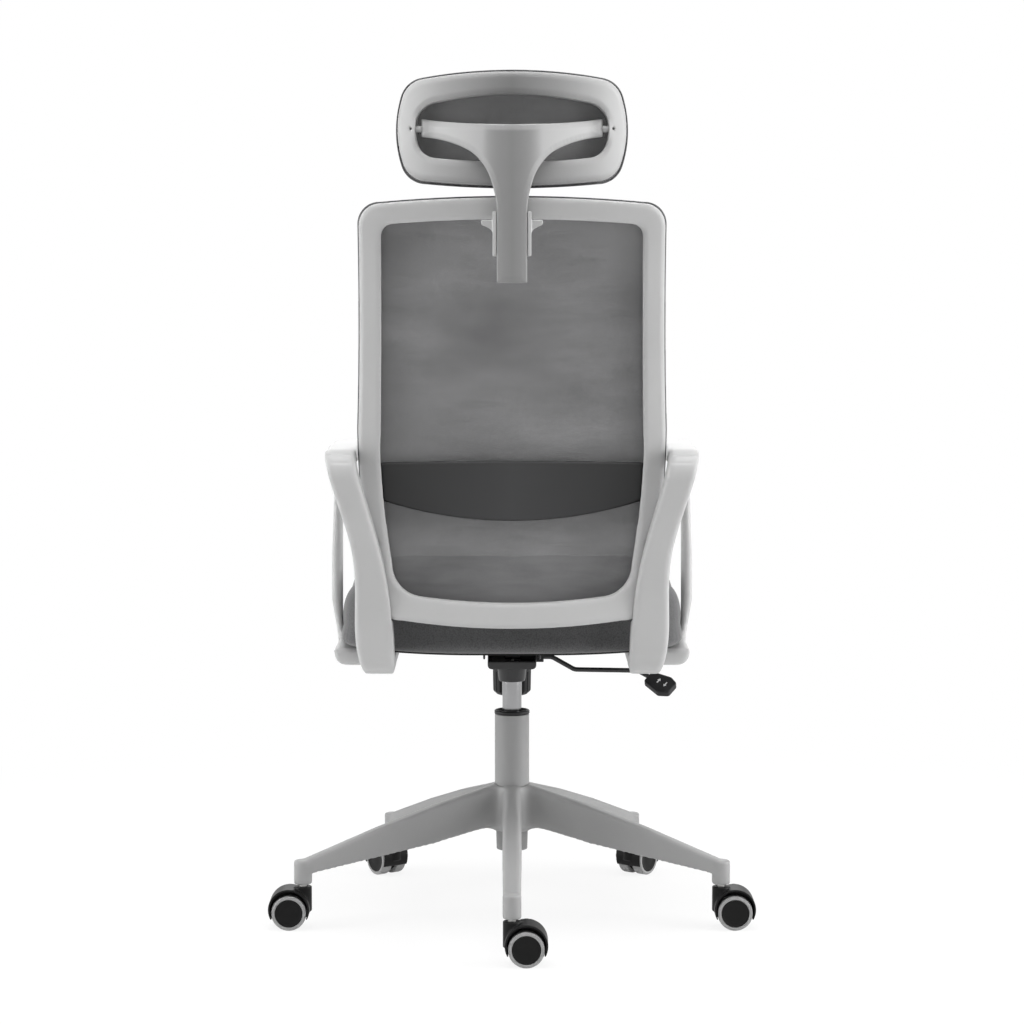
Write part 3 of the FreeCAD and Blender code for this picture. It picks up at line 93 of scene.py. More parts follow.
# %% The wire class
class Wire:
    """The output of a shader node, ready to take part in a sum."""

    def __init__(self, finish, socket):
        self.finish = finish
        self.socket = socket

    def work(self, operation, first, second):
        terms = (first, second)
        wide = any(isinstance(term, Wire) and term.socket.type in ("VECTOR", "RGBA") for term in terms)
        if wide:
            terms = [term if isinstance(term, Wire) else (term,) * 3 for term in terms]
        kind = "ShaderNodeVectorMath" if wide else "ShaderNodeMath"
        return self.finish.node(kind, {"operation": operation}, dict(enumerate(terms)))

    def __add__(self, other):
        return self.work("ADD", self, other)

    def __sub__(self, other):
        return self.work("SUBTRACT", self, other)

    def __mul__(self, other):
        return self.work("MULTIPLY", self, other)

    def __radd__(self, other):
        return self.work("ADD", other, self)

    def __rsub__(self, other):
        return self.work("SUBTRACT", other, self)

    def __rmul__(self, other):
        return self.work("MULTIPLY", other, self)

    def __gt__(self, other):
        return self.work("GREATER_THAN", self, other)

    def sine(self):
        return self.finish.node("ShaderNodeMath", {"operation": "SINE"}, {0: self})

    def size(self):
        return self.finish.node("ShaderNodeMath", {"operation": "ABSOLUTE"}, {0: self})


class Finish:
    """A material under construction. Its slot in the CAD record has the same name."""

    def __init__(self, name):
        self.material = bpy.data.materials.new(name)
        self.material.use_nodes = True
        self.tree = self.material.node_tree
        self.shader = self.tree.nodes["Principled BSDF"]
        self.place = self.node("ShaderNodeTexCoord", {}, {}, "Object")

    def node(self, kind, settings, inputs, output=0):
        """Adds any node: its settings first, then its values and links."""
        made = self.tree.nodes.new(kind)
        for setting, value in settings.items():
            setattr(made, setting, value)
        for socket, value in inputs.items():
            if isinstance(value, Wire):
                self.tree.links.new(value.socket, made.inputs[socket])
            else:
                made.inputs[socket].default_value = value
        return Wire(self, made.outputs[output])

    def noise(self, size, detail=2.0, stretch=(1, 1, 1)):
        """Smooth random patches about `size` metres wide, near 0.5 on average."""
        place = self.node("ShaderNodeVectorMath", {"operation": "MULTIPLY"}, {0: self.place, 1: stretch})
        inputs = {"Vector": place, "Scale": 1 / size, "Detail": detail}
        return self.node("ShaderNodeTexNoise", {"noise_dimensions": "3D"}, inputs, "Fac")

    def tint(self, low, high, amount):
        """A colour between two, chosen by an amount from 0 to 1."""
        inputs = {0: amount, 6: (*low, 1), 7: (*high, 1)}
        return self.node("ShaderNodeMix", {"data_type": "RGBA"}, inputs, 2)

    def along(self, axis):
        """A point's place along one axis, in metres."""
        return self.node("ShaderNodeSeparateXYZ", {}, {0: self.place}, "XYZ".index(axis))

    def bump(self, height, depth, strength=1.0):
        inputs = {"Strength": strength, "Distance": depth, "Height": height}
        return self.node("ShaderNodeBump", {}, inputs, "Normal")

    def shade(self, **sockets):
        """Sets the shader's sockets; an underscore in a name stands for a space."""
        for name, value in sockets.items():
            socket = self.shader.inputs[name.replace("_", " ")]
            if isinstance(value, Wire):
                self.tree.links.new(value.socket, socket)
            else:
                socket.default_value = value
        return self.material


print("shader sums ready")

# %% [markdown]
# ## Moulded plastic
# Injection-moulded plastic is never one flat colour. The mould is etched with a fine grain that scatters
# the highlight, and the resin varies a little as it cools. Two noises make this: one about a millimetre
# wide for the grain, in a bump node, and one as wide as a hand for the slow drift of tone and sheen.

# %% Plastics
GRAIN = 0.9 * MM             # width of the mould's etched grain
GRAIN_DEPTH = 0.03 * MM
PLASTIC_GLOSS = 0.42


def moulded_plastic(name, low, high, roughness, grain=GRAIN, gloss=PLASTIC_GLOSS):
    finish = Finish(name)
    drift = finish.noise(0.11, 3.0)
    etched = finish.noise(grain, 4.0)
    return finish.shade(Base_Color=finish.tint(low, high, drift * 0.75 + etched * 0.25),
                        Roughness=roughness - 0.05 + drift * 0.06 + etched * 0.05,
                        Normal=finish.bump(etched, GRAIN_DEPTH, 0.6),
                        Specular_IOR_Level=gloss)


# Painted shade: three plastics below get a tone that changes with distance from the chair's middle line,
# standing in for how the light falls on them.
def plastic_with_painted_shade(name, middle, ends, reach, roughness):
    """Moulded plastic with painted shade: its colour runs from `middle` at the chair's middle line to `ends`
    at `reach` metres from it, standing in for how the light falls.
    """
    finish = Finish(name)
    etched = finish.noise(GRAIN, 4.0)
    drift = finish.noise(0.11, 3.0)
    # outward: painted shade, 0 at the middle line and 1 at `reach` metres out, mixed into the colour.
    outward = finish.along("X").size() * (1 / reach)
    return finish.shade(Base_Color=finish.tint(middle, ends, outward + drift * 0.2 + etched * 0.1 - 0.15),
                        Roughness=roughness - 0.05 + drift * 0.06 + etched * 0.05,
                        Normal=finish.bump(etched, GRAIN_DEPTH, 0.6),
                        Specular_IOR_Level=PLASTIC_GLOSS)


finishes = {
    "light_grey_plastic": moulded_plastic("light_grey_plastic",
        (0.40, 0.40, 0.40), (0.47, 0.47, 0.47), 0.46),
    "light_grey_nylon": moulded_plastic("light_grey_nylon",
        (0.27, 0.27, 0.27), (0.33, 0.33, 0.33), 0.5),
    "black_nylon": moulded_plastic("black_nylon",
        (0.010, 0.010, 0.011), (0.020, 0.020, 0.021), 0.45, gloss=0.25),
    "caster_black": moulded_plastic("caster_black",
        (0.005, 0.005, 0.005), (0.011, 0.011, 0.011), 0.42, gloss=0.12),
    "seat_pan": moulded_plastic("seat_pan",
        (0.012, 0.012, 0.012), (0.022, 0.022, 0.022), 0.6, gloss=0.2),
    "mesh_edge": moulded_plastic("mesh_edge",
        (0.045, 0.045, 0.047), (0.075, 0.075, 0.078), 0.5),
    # Painted shadow: the lumbar band is made darker towards its ends, where it passes behind the frame's
    # rails.
    "lumbar_plastic": plastic_with_painted_shade("lumbar_plastic",
        (0.030, 0.030, 0.031), (0.006, 0.006, 0.006), 0.21, 0.44),
    # Painted shade: the headrest ring is darker at its middle and lighter towards its ends.
    "headrest_grey_painted_shade": plastic_with_painted_shade("headrest_grey_painted_shade",
        (0.17, 0.17, 0.17), (0.40, 0.40, 0.40), 0.15, 0.46),
    # Painted shade: the headrest stem is darker along its middle bar and lighter out on its arms.
    "stem_grey_painted_shade": plastic_with_painted_shade("stem_grey_painted_shade",
        (0.21, 0.21, 0.21), (0.44, 0.44, 0.44), 0.12, 0.46),
    "tyre": moulded_plastic("tyre",
        (0.26, 0.26, 0.26), (0.33, 0.33, 0.33), 0.6, 1.6 * MM),
}
print("plastics:", sorted(finishes))

# %% [markdown]
# ## Metals and paint
# The column is powder coated, so its surface has a faint orange peel. The gas cylinder is hard chrome,
# ground along its length, which leaves hair lines. Screws and washers are zinc plated: bright, but
# cloudier. The mechanism is black paint over pressed steel.

# %% Metals
def ground_metal(name, low, high, roughness, stretch):
    finish = Finish(name)
    lines = finish.noise(0.7 * MM, 5.0, stretch)
    cloud = finish.noise(0.02, 2.0)
    return finish.shade(Base_Color=finish.tint(low, high, cloud), Metallic=1.0,
                        Roughness=roughness + lines * 0.09 + cloud * 0.05,
                        Normal=finish.bump(lines, 0.01 * MM, 0.3))


def powder_coat(name, low, high, roughness):
    finish = Finish(name)
    peel = finish.noise(2.2 * MM, 2.0)
    drift = finish.noise(0.08, 2.0)
    return finish.shade(Base_Color=finish.tint(low, high, drift), Roughness=roughness + peel * 0.08,
                        Normal=finish.bump(peel, 0.06 * MM, 0.5))


finishes["chrome"] = ground_metal("chrome", (0.28, 0.28, 0.285), (0.36, 0.36, 0.365), 0.12, (1, 1, 0.03))
finishes["zinc_steel"] = ground_metal("zinc_steel", (0.50, 0.50, 0.49), (0.66, 0.66, 0.64), 0.3, (1, 1, 1))
finishes["column_paint"] = powder_coat("column_paint", (0.24, 0.24, 0.24), (0.28, 0.28, 0.28), 0.4)
finishes["black_steel"] = powder_coat("black_steel", (0.010, 0.010, 0.011), (0.020, 0.020, 0.021), 0.32)
print("metals and paint ready")

# %% [markdown]
# ## Seat cloth and open mesh
# The seat cloth is a spacer knit: small round cells on a darker ground, which a Voronoi pattern gives
# on any side of the pad.
# The back and the headrest are an open weave. Two sets of threads cross, and where neither is, there is
# a hole: the product of two sine waves finds the holes, and it goes into the alpha.

# %% Cloths
KNIT_PITCH = 1.9 * MM        # from one cell of the seat's knit to the next


def seat_knit(name):
    finish = Finish(name)
    cells = finish.node("ShaderNodeTexVoronoi", {"feature": "F1"},
                        {"Vector": finish.place, "Scale": 1 / KNIT_PITCH}, "Distance")
    wear = finish.noise(0.09, 3.0)
    fibre = finish.noise(0.35 * MM, 2.0)
    tone = 1 - cells * 0.9
    return finish.shade(Base_Color=finish.tint((0.030, 0.030, 0.031), (0.098, 0.098, 0.100),
                                               tone * 0.7 + wear * 0.3),
                        Roughness=0.82 + fibre * 0.12, Sheen_Weight=0.25, Sheen_Roughness=0.5,
                        Normal=finish.bump(tone + fibre * 0.3, 0.25 * MM, 0.7))


THREAD_PITCH = 1.1 * MM     # from one thread of the open weave to the next


def open_weave(name, low, high):
    finish = Finish(name)
    across = (finish.along("X") * (math.pi / THREAD_PITCH)).sine().size()
    upward = (finish.along("Z") * (math.pi / THREAD_PITCH)).sine().size()
    # Patches about a hand wide: they open the holes a little where the threads pull, and, weighted heavily in
    # the colour, paint patches of shade and light on the mesh.
    pull_and_painted_shade = finish.noise(0.09, 2.0, (0.6, 1, 1.4))
    slub = finish.noise(9 * MM, 3.0, (0.15, 1, 1))
    hole = across * upward
    covered = 1 - (hole > 0.95 - pull_and_painted_shade * 0.04)
    thread = 1 - hole
    # The colour mixes the threads, the painted patches of shade and light, and the slubs.
    return finish.shade(Base_Color=finish.tint(low, high, thread * 0.3 + pull_and_painted_shade * 1.3 + slub * 0.5 - 0.65),
                        Roughness=0.6 + slub * 0.2, Alpha=covered, Sheen_Weight=0.15,
                        Normal=finish.bump(thread, 0.2 * MM, 0.6))


finishes["seat_fabric"] = seat_knit("seat_fabric")
finishes["mesh_fabric"] = open_weave("mesh_fabric", (0.08, 0.08, 0.082), (0.20, 0.20, 0.203))
# Painted shade: the headrest's weave is a darker copy of the back's weave, for the shade that its ring casts
# on it.
finishes["headrest_weave_painted_shade"] = open_weave("headrest_weave_painted_shade", (0.04, 0.04, 0.041), (0.12, 0.12, 0.122))

# %% [markdown]
# ## Placing a piece
# Each piece that is modelled here stands for one or more CAD nodes, rides on their body, and takes the
# finish of their slot. One helper says all of this, so that no piece is left behind when the chair moves.

# %% Placing
def dress(piece, slot, smooth=True):
    """Gives a piece its finish."""
    piece.data.materials.clear()
    piece.data.materials.append(finishes[slot])
    if smooth:
        piece.data.shade_smooth()
    return piece


def stand_for(piece, *nodes):
    """The piece takes the place of these CAD nodes, on their body and in their slot."""
    dress(piece, slot_of_node[nodes[0]])
    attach(piece, body_of_node[nodes[0]])
    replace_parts(piece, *nodes)
    print(piece.name, len(piece.data.vertices), "points, for", ", ".join(nodes))
    return piece


def add_object(name, mesh):
    piece = bpy.data.objects.new(name, mesh)
    bpy.context.scene.collection.objects.link(piece)
    return piece


def from_points(name, points, faces):
    """A new object from a list of points and a list of faces, with its faces turned outward."""
    mesh = bpy.data.meshes.new(name)
    mesh.from_pydata([tuple(point) for point in points], [], faces)
    shell = bmesh.new()
    shell.from_mesh(mesh)
    bmesh.ops.remove_doubles(shell, verts=shell.verts, dist=0.001 * MM)
    bmesh.ops.recalc_face_normals(shell, faces=shell.faces)
    shell.to_mesh(mesh)
    shell.free()
    return add_object(name, mesh)


print("placing helpers ready")

# %% [markdown]
# ## Soft edges from a hard solid
# A CAD solid has razor edges, and a real moulding has none. A bevel modifier needs tidy faces, which a
# tessellated solid lacks, so these pieces are skinned again with a voxel remesh and then relaxed: each
# point moves towards the mean of its neighbours, which leaves flat faces flat and rounds every edge.

# %% Moulding helpers
def cad_copy(name, node):
    """A free, welded copy of a CAD node's mesh."""
    mesh = frame["nodes"][node].data.copy()
    shell = bmesh.new()
    shell.from_mesh(mesh)
    bmesh.ops.remove_doubles(shell, verts=shell.verts, dist=0.01 * MM)
    shell.to_mesh(mesh)
    shell.free()
    return add_object(name, mesh)


def fixed(piece):
    """The piece with its modifiers made permanent."""
    graph = bpy.context.evaluated_depsgraph_get()
    mesh = bpy.data.meshes.new_from_object(piece.evaluated_get(graph))
    piece.modifiers.clear()
    piece.data = mesh
    return piece


def points_of(mesh, kind="co"):
    values = np.empty(len(mesh.vertices) * 3)
    source = mesh.vertices if kind == "co" else mesh.vertex_normals
    source.foreach_get("co" if kind == "co" else "vector", values)
    return values.reshape(-1, 3)


def move_points(mesh, places):
    mesh.vertices.foreach_set("co", places.ravel())
    mesh.update()


def relax(mesh, passes, weight=1.0):
    """Moves each point towards the mean of its neighbours, all together, a number of times."""
    places = points_of(mesh)
    count = len(places)
    ends = np.empty(len(mesh.edges) * 2, dtype=np.int64)
    mesh.edges.foreach_get("vertices", ends)
    first, second = ends.reshape(-1, 2).T
    share = np.bincount(np.concatenate((first, second)), minlength=count)[:, None]
    for _ in range(passes):
        mean = np.column_stack([np.bincount(first, places[second, axis], count)
                                + np.bincount(second, places[first, axis], count) for axis in range(3)])
        places += (mean / share - places) * weight
    move_points(mesh, places)


def skinned(piece, voxel):
    """The piece covered again with small, even squares."""
    skin = piece.modifiers.new("skin", "REMESH")
    skin.mode = "VOXEL"
    skin.voxel_size = voxel
    return fixed(piece)


def moulded(name, node, voxel, passes):
    piece = skinned(cad_copy(name, node), voxel)
    relax(piece.data, passes)
    return piece


def chamfer(piece, side, width, depth, reach=None):
    """Slopes the face that looks towards `side` down to its own edges, over a width and to a depth."""
    mesh = piece.data
    places = points_of(mesh)
    looks = points_of(mesh, "normal") @ np.array(side)
    facing = np.flatnonzero(looks > 0.6)
    walls = np.flatnonzero(np.abs(looks) < 0.35)
    wall_tree = KDTree(len(walls))
    for order, index in enumerate(walls):
        wall_tree.insert(places[index], order)
    wall_tree.balance()
    face_tree = KDTree(len(facing))
    for order, index in enumerate(facing):
        face_tree.insert(places[index], order)
    face_tree.balance()
    drop = np.zeros(len(places))
    for index in facing:
        drop[index] = depth * max(0.0, 1 - wall_tree.find(places[index])[2] / width)
    for index in np.flatnonzero(looks <= 0.6):
        drop[index] = depth * max(0.0, 1 - face_tree.find(places[index])[2] / (2 * depth))
    if reach is not None:
        drop *= reach(places)
    move_points(mesh, places - np.outer(drop, side))


REARWARD = (0, -1, 0)
UPWARD = (0, 0, 1)
print("moulding helpers ready")

# %% [markdown]
# ## Turned parts
# The gas lift, the wheels and the knob are round. A lathe makes such a part from one line, given as
# (radius, height) pairs, which is spun about an axis. The corners of the line carry the small bevels.

# %% The lathe
def lathe(name, line, segments=96, flutes=0, flute_depth=0.0):
    """Spins a line about Z. Flutes are shallow grooves along the line, where a third value marks it."""
    points = []
    for step in range(segments):
        turn = 2 * math.pi * step / segments
        groove = flute_depth * max(0.0, math.cos(flutes * turn)) ** 2 if flutes else 0.0
        for radius, height, *marked in line:
            reach = radius - (groove if marked else 0.0)
            points.append((reach * math.cos(turn), reach * math.sin(turn), height))
    count = len(line)
    faces = []
    for step in range(segments):
        this = step * count
        after = (step + 1) % segments * count
        for k in range(count - 1):
            faces.append((this + k, after + k, after + k + 1, this + k + 1))
    piece = from_points(name, points, faces)
    shell = bmesh.new()
    shell.from_mesh(piece.data)
    bmesh.ops.dissolve_degenerate(shell, dist=0.001 * MM, edges=shell.edges)
    shell.to_mesh(piece.data)
    shell.free()
    return piece


def bevelled(corners, size):
    """A line whose inner corners are each cut by a small bevel."""
    line = [corners[0]]
    for before, corner, after in zip(corners, corners[1:], corners[2:]):
        spot = Vector(corner[:2])
        for other in (before, after):
            way = Vector(other[:2]) - spot
            near = spot + way.normalized() * min(size, way.length / 2.5)
            line.append((near.x, near.y, *corner[2:]))
    line.append(corners[-1])
    return line


def crisp(piece, angle=35):
    """Smooth shading that keeps the sharper edges."""
    piece.data.shade_smooth()
    piece.data.set_sharp_from_angle(angle=math.radians(angle))
    return piece


print("lathe ready")

# %% [markdown]
# ## Star base
# The five legs are one nylon moulding with a hub. Their tops are narrow facets and their sides stand
# almost upright. Near the hub every junction is a wide, soft fillet, so the points there are relaxed
# many more times than those out on the legs. The ribs underneath are kept.

# %% Star base
base = moulded("star_base_moulding", "star_base", 1.7 * MM, 3)
spread = np.linalg.norm(points_of(base.data)[:, :2], axis=1)
outside = np.clip((spread - 0.0262) / 0.004, 0, 1)
near_hub = np.clip((0.12 - spread) / 0.06, 0, 1) * outside
relax(base.data, 40, near_hub[:, None] * 0.9)
stand_for(base, "star_base")

# %% [markdown]
# ## Gas lift
# From the bottom: the painted outer tube, the black guide cap on its rim, and the chromed cylinder that
# rises into the seat mechanism. They are three turned pieces, and each takes its radii from its node.

# %% Gas lift
def radius_of(node):
    low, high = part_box(node)
    return (high.x - low.x) / 2


column_low, column_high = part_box("gas_column")
column_radius = radius_of("gas_column")
hub_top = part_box("star_base")[1].z
wall = 2 * MM
foot_radius = 22.5 * MM
column_line = bevelled([(foot_radius - wall, column_low.z), (foot_radius, column_low.z),
                        (column_radius, hub_top), (column_radius, column_high.z),
                        (column_radius - wall, column_high.z), (column_radius - wall, hub_top),
                        (foot_radius - wall, column_low.z)], 0.5 * MM)
stand_for(crisp(lathe("column_tube", column_line)), "gas_column")

cap_low, cap_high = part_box("column_guide")
cap_radius = radius_of("column_guide")
rod_radius = radius_of("gas_cylinder")
bush_radius = column_radius - wall - 0.1 * MM
sliding_radius = rod_radius + 0.4 * MM
cap_line = bevelled([(sliding_radius, cap_low.z), (bush_radius, cap_low.z), (bush_radius, column_high.z),
                     (cap_radius, column_high.z + 0.1 * MM), (cap_radius, cap_high.z - 0.6 * MM),
                     (cap_radius - 4 * MM, cap_high.z), (rod_radius + 3 * MM, cap_high.z - 0.8 * MM),
                     (sliding_radius, cap_high.z - 1.8 * MM), (sliding_radius, cap_low.z)], 0.8 * MM)
stand_for(lathe("column_cap", cap_line), "column_guide")

cylinder_low, cylinder_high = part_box("gas_cylinder")
tip_radius = 13.3 * MM
tip_length = 29 * MM        # the taper that is pushed up into the mechanism
cylinder_line = bevelled([(0, cylinder_low.z), (rod_radius, cylinder_low.z),
                          (rod_radius, cylinder_high.z - tip_length),
                          (tip_radius, cylinder_high.z), (0, cylinder_high.z)], 0.8 * MM)
stand_for(lathe("chromed_cylinder", cylinder_line), "gas_cylinder")

# %% [markdown]
# ## Casters
# A caster is a hood with a stem boss, and two wheels. The hood is the CAD shape with its edges softened,
# made once at the first caster and turned into place for the others. A wheel is a black disc with a
# raised rim and a smooth cap, inside a softer grey tyre with rounded shoulders.

# %% Caster hoods
def caster_place(number):
    """Where a caster's stem stands and which way it trails, as a matrix from the floor's middle."""
    at = Vector(joints["caster_%d_swivel" % number]["pos_m"])
    axle = Vector(joints["wheel_%d_left_spin" % number]["axis"])
    turn = math.atan2(-axle.x, axle.y)
    return Matrix.Translation((at.x, at.y, 0)) @ Matrix.Rotation(turn, 4, "Z")


hood = moulded("caster_hood_1", "caster_body_1", 0.9 * MM, 2)
hood.data.transform(caster_place(1).inverted())
CASTERS = range(1, 6)
for number in CASTERS:
    mesh = hood.data.copy()
    mesh.transform(caster_place(number))
    stand_for(add_object("caster_%d_hood" % number, mesh), "caster_body_%d" % number)
bpy.data.objects.remove(hood)

# %% Caster wheels
wheel_low, wheel_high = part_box("tyre_1_right")
wheel_radius = (wheel_high.z - wheel_low.z) / 2
wheel_width = min(wheel_high.x - wheel_low.x, wheel_high.y - wheel_low.y)
rim_radius = wheel_radius - 5.2 * MM
wheel_gap = 4.5 * MM        # from the caster's middle to a wheel's inner face
face = wheel_gap + wheel_width
TRAIL = 19.5 * MM           # from a caster's stem to its axle
INNER_SHOULDER = 2.2 * MM
OUTER_SHOULDER = 3.0 * MM
tyre_line = [(rim_radius, wheel_gap)]
for step in range(7):
    turn = math.radians(15 * step)
    tyre_line.append((wheel_radius - INNER_SHOULDER * (1 - math.sin(turn)),
                      wheel_gap + INNER_SHOULDER * (1 - math.cos(turn))))
for step in range(9):
    turn = math.radians(11.25 * step)
    tyre_line.append((wheel_radius - OUTER_SHOULDER * (1 - math.cos(turn)),
                      face - OUTER_SHOULDER * (1 - math.sin(turn))))
tyre_line += [(rim_radius + 0.3 * MM, face - 0.2 * MM), (rim_radius, face - 1 * MM), (rim_radius, wheel_gap)]
hub_line = bevelled([(3.2 * MM, wheel_gap), (rim_radius - 0.15 * MM, wheel_gap),
                     (rim_radius - 0.15 * MM, face - 0.2 * MM), (rim_radius - 1.3 * MM, face),
                     (rim_radius - 2.2 * MM, face - 0.9 * MM), (8.5 * MM, face - 0.55 * MM),
                     (6 * MM, face - 0.45 * MM), (0, face - 0.3 * MM)], 0.35 * MM)
to_axle = Matrix.Translation((TRAIL, 0, wheel_radius))
for number in CASTERS:
    for side, lean in (("right", -1), ("left", 1)):
        outward = Matrix.Rotation(lean * math.pi / 2, 4, "X")
        for part, line in (("tyre", tyre_line), ("wheel_hub", hub_line)):
            wheel = lathe("caster_%d_%s_%s" % (number, part, side), line, 72)
            wheel.data.transform(caster_place(number) @ to_axle @ outward)
            stand_for(crisp(wheel, 50), "%s_%d_%s" % (part, number, side))

# %% [markdown]
# ## Mechanism, lever and knob
# Under the seat is a pressed black housing. The tension knob hangs below its front: a fluted cup, turned
# on the lathe with shallow grooves. The lever is a bent steel rod that ends in a flat grip, which has
# two plain arrows on its upper face for up and down.

# %% Mechanism
stand_for(moulded("mechanism_housing", "mechanism_box", 1.1 * MM, 2), "mechanism_box")
stand_for(moulded("tilt_plate_steel", "tilt_plate", 1.1 * MM, 1), "tilt_plate")
stand_for(moulded("lever_steel", "lever_rod", 0.8 * MM, 2), "lever_rod")
stand_for(moulded("lever_slide", "lever_sleeve", 0.8 * MM, 1), "lever_sleeve")

knob_low, knob_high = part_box("tension_knob")
knob_radius = radius_of("tension_knob")
knob_line = bevelled([(4.2 * MM, knob_low.z), (knob_radius - 7 * MM, knob_low.z),
                      (knob_radius - 0.5 * MM, knob_low.z + 6 * MM, 1),
                      (knob_radius, knob_high.z - 5 * MM, 1),
                      (knob_radius, knob_high.z - 4 * MM), (knob_radius, knob_high.z),
                      (knob_radius - 6 * MM, knob_high.z), (knob_radius - 6 * MM, knob_low.z + 9 * MM),
                      (4.2 * MM, knob_low.z + 9 * MM), (4.2 * MM, knob_low.z)], 1.1 * MM)
knob = lathe("tension_knob_cup", knob_line, 192, 20, 1.9 * MM)
knob.data.transform(Matrix.Translation((0, (knob_low.y + knob_high.y) / 2, 0)))
stand_for(knob, "tension_knob")

# %% [markdown]
# The coil spring stands between the knob's floor and the housing. In the real chair, as the seat tilts, the
# bolt draws the knob up by a few millimetres and the spring gets shorter by as much, towards its upper end;
# here the spring keeps its CAD shape, on a mesh of its own.

# %% Tension spring
spring = stand_for(crisp(cad_copy("tension_coil", "tension_spring")), "tension_spring")
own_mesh(spring)

# %% Lever grip
GRIP_LENGTH = Vector((0.796, -0.497, -0.347)).normalized()
GRIP_FACE = GRIP_LENGTH.cross(Vector((0.6, 0.57, 0.56))).normalized()
GRIP_SIDE = GRIP_FACE.cross(GRIP_LENGTH)
grip = stand_for(moulded("lever_grip", "lever_paddle", 0.6 * MM, 3), "lever_paddle")
grip_low, grip_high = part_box("lever_paddle")
grip_middle = (grip_low + grip_high) / 2
arrow_ink = Finish("arrow_ink")
speck = arrow_ink.noise(0.6 * MM, 3.0)
arrow_paint = arrow_ink.shade(Base_Color=arrow_ink.tint((0.55, 0.55, 0.55), (0.8, 0.8, 0.8), speck),
                              Roughness=0.5)


ARROW_SCALE = 0.9 * MM
INK = 0.12 * MM             # how far the arrows stand above the grip
grip_tree = BVHTree.FromPolygons([vertex.co for vertex in grip.data.vertices],
                                 [list(face.vertices) for face in grip.data.polygons])


def grip_top(along, sideways):
    """A point just above the grip's upper face."""
    start = grip_middle + GRIP_LENGTH * along + GRIP_SIDE * sideways + GRIP_FACE * 0.03
    hit = grip_tree.ray_cast(start, -GRIP_FACE)[0]
    return (hit or start) + GRIP_FACE * INK


for number, (middle, way) in enumerate(((-3 * MM, 1), (9 * MM, -1)), 1):
    outline = [(-4.5, -1), (1, -1), (1, -3), (5.5, 0), (1, 3), (1, 1), (-4.5, 1)]
    corners = [grip_top(middle + ARROW_SCALE * y, way * ARROW_SCALE * x) for x, y in outline]
    arrow = from_points("grip_arrow_%d" % number, corners, [tuple(range(len(corners)))])
    arrow.data.materials.append(arrow_paint)
    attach(arrow, "lever")
print("grip with two arrows")

# %% [markdown]
# ## Back frame
# The back is one moulded loop that narrows towards the seat. Its rear face is flat in the middle and
# falls away to both edges, which catches a thin line of light along the opening. A darker carrier in
# front of it holds the edge of the mesh and shows as a fine dark line round the outside.

# %% Back frame
back_ring = moulded("back_frame_moulding", "back_frame", 1.5 * MM, 2)
chamfer(back_ring, REARWARD, 6 * MM, 2.4 * MM)
relax(back_ring.data, 1)
stand_for(back_ring, "back_frame")
stand_for(moulded("mesh_edge_carrier", "mesh_carrier", 1.3 * MM, 2), "mesh_carrier")
band = moulded("lumbar_band_moulding", "lumbar_band", 1.3 * MM, 3)
chamfer(band, REARWARD, 3 * MM, 1.2 * MM)
# The band's finish carries painted shadow at its ends, behind the frame's rails.
stand_for(band, "lumbar_band")

# %% [markdown]
# ## Armrests
# Each armrest is a closed loop: a pad, a broad rear leg that turns inward to the foot, and a thin front
# leg outside the cushion. Its edges are broad and soft, so it is relaxed more than the back frame.

# %% Armrests
for side in ("left", "right"):
    loop = moulded("armrest_loop_" + side, "armrest_" + side, 1.6 * MM, 5)
    chamfer(loop, REARWARD, 7 * MM, 2.5 * MM)
    chamfer(loop, UPWARD, 6 * MM, 2.0 * MM)
    relax(loop.data, 3)
    stand_for(loop, "armrest_" + side)

# %% [markdown]
# ## Headrest
# The headrest is a curved ring with mesh stretched over its front. Its stem is a flat bar that flares
# into two arms, bevelled along their lower edges, and it slides in a channel on the back's top rail.

# %% Headrest
pins_low, pins_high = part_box("headrest_pins")
pins_middle = (pins_low + pins_high) / 2
pin_depth = 8 * MM          # how far each pin is pressed into the ring
opening = pins_high.x - pin_depth


def away_from_pins(places):
    """The ring keeps its full thickness around the pin holes, so its bevel starts a little way off."""
    distance = np.hypot(np.abs(places[:, 0]) - opening - pin_depth / 2, places[:, 2] - pins_middle.z)
    return np.clip((distance - 9 * MM) / (16 * MM), 0.1, 1)


ring = moulded("headrest_ring", "headrest_frame", 1.2 * MM, 3)
chamfer(ring, REARWARD, 7 * MM, 3.0 * MM, away_from_pins)
relax(ring.data, 3)
# The ring's finish is painted shade: darker at its middle, lighter towards its ends.
dress(stand_for(ring, "headrest_frame"), "headrest_grey_painted_shade")
stem = moulded("headrest_stem_arms", "headrest_stem", 1.0 * MM, 2)
stem_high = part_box("headrest_stem")[1]
neck_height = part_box("headrest_frame")[0].z


def bevel_growth(places):
    """The stem's bevel is narrow on the bar and grows towards the elbows."""
    rise = np.clip((places[:, 2] - neck_height + 0.03) / 0.08, 0, 1)
    return 0.35 + 0.65 * rise


chamfer(stem, REARWARD, 8 * MM, 3.2 * MM, bevel_growth)
relax(stem.data, 1)
# The stem's finish is painted shade: darker along the bar, lighter out on the arms.
dress(stand_for(stem, "headrest_stem"), "stem_grey_painted_shade")
stand_for(moulded("headrest_channel", "headrest_holder", 0.7 * MM, 2), "headrest_holder")

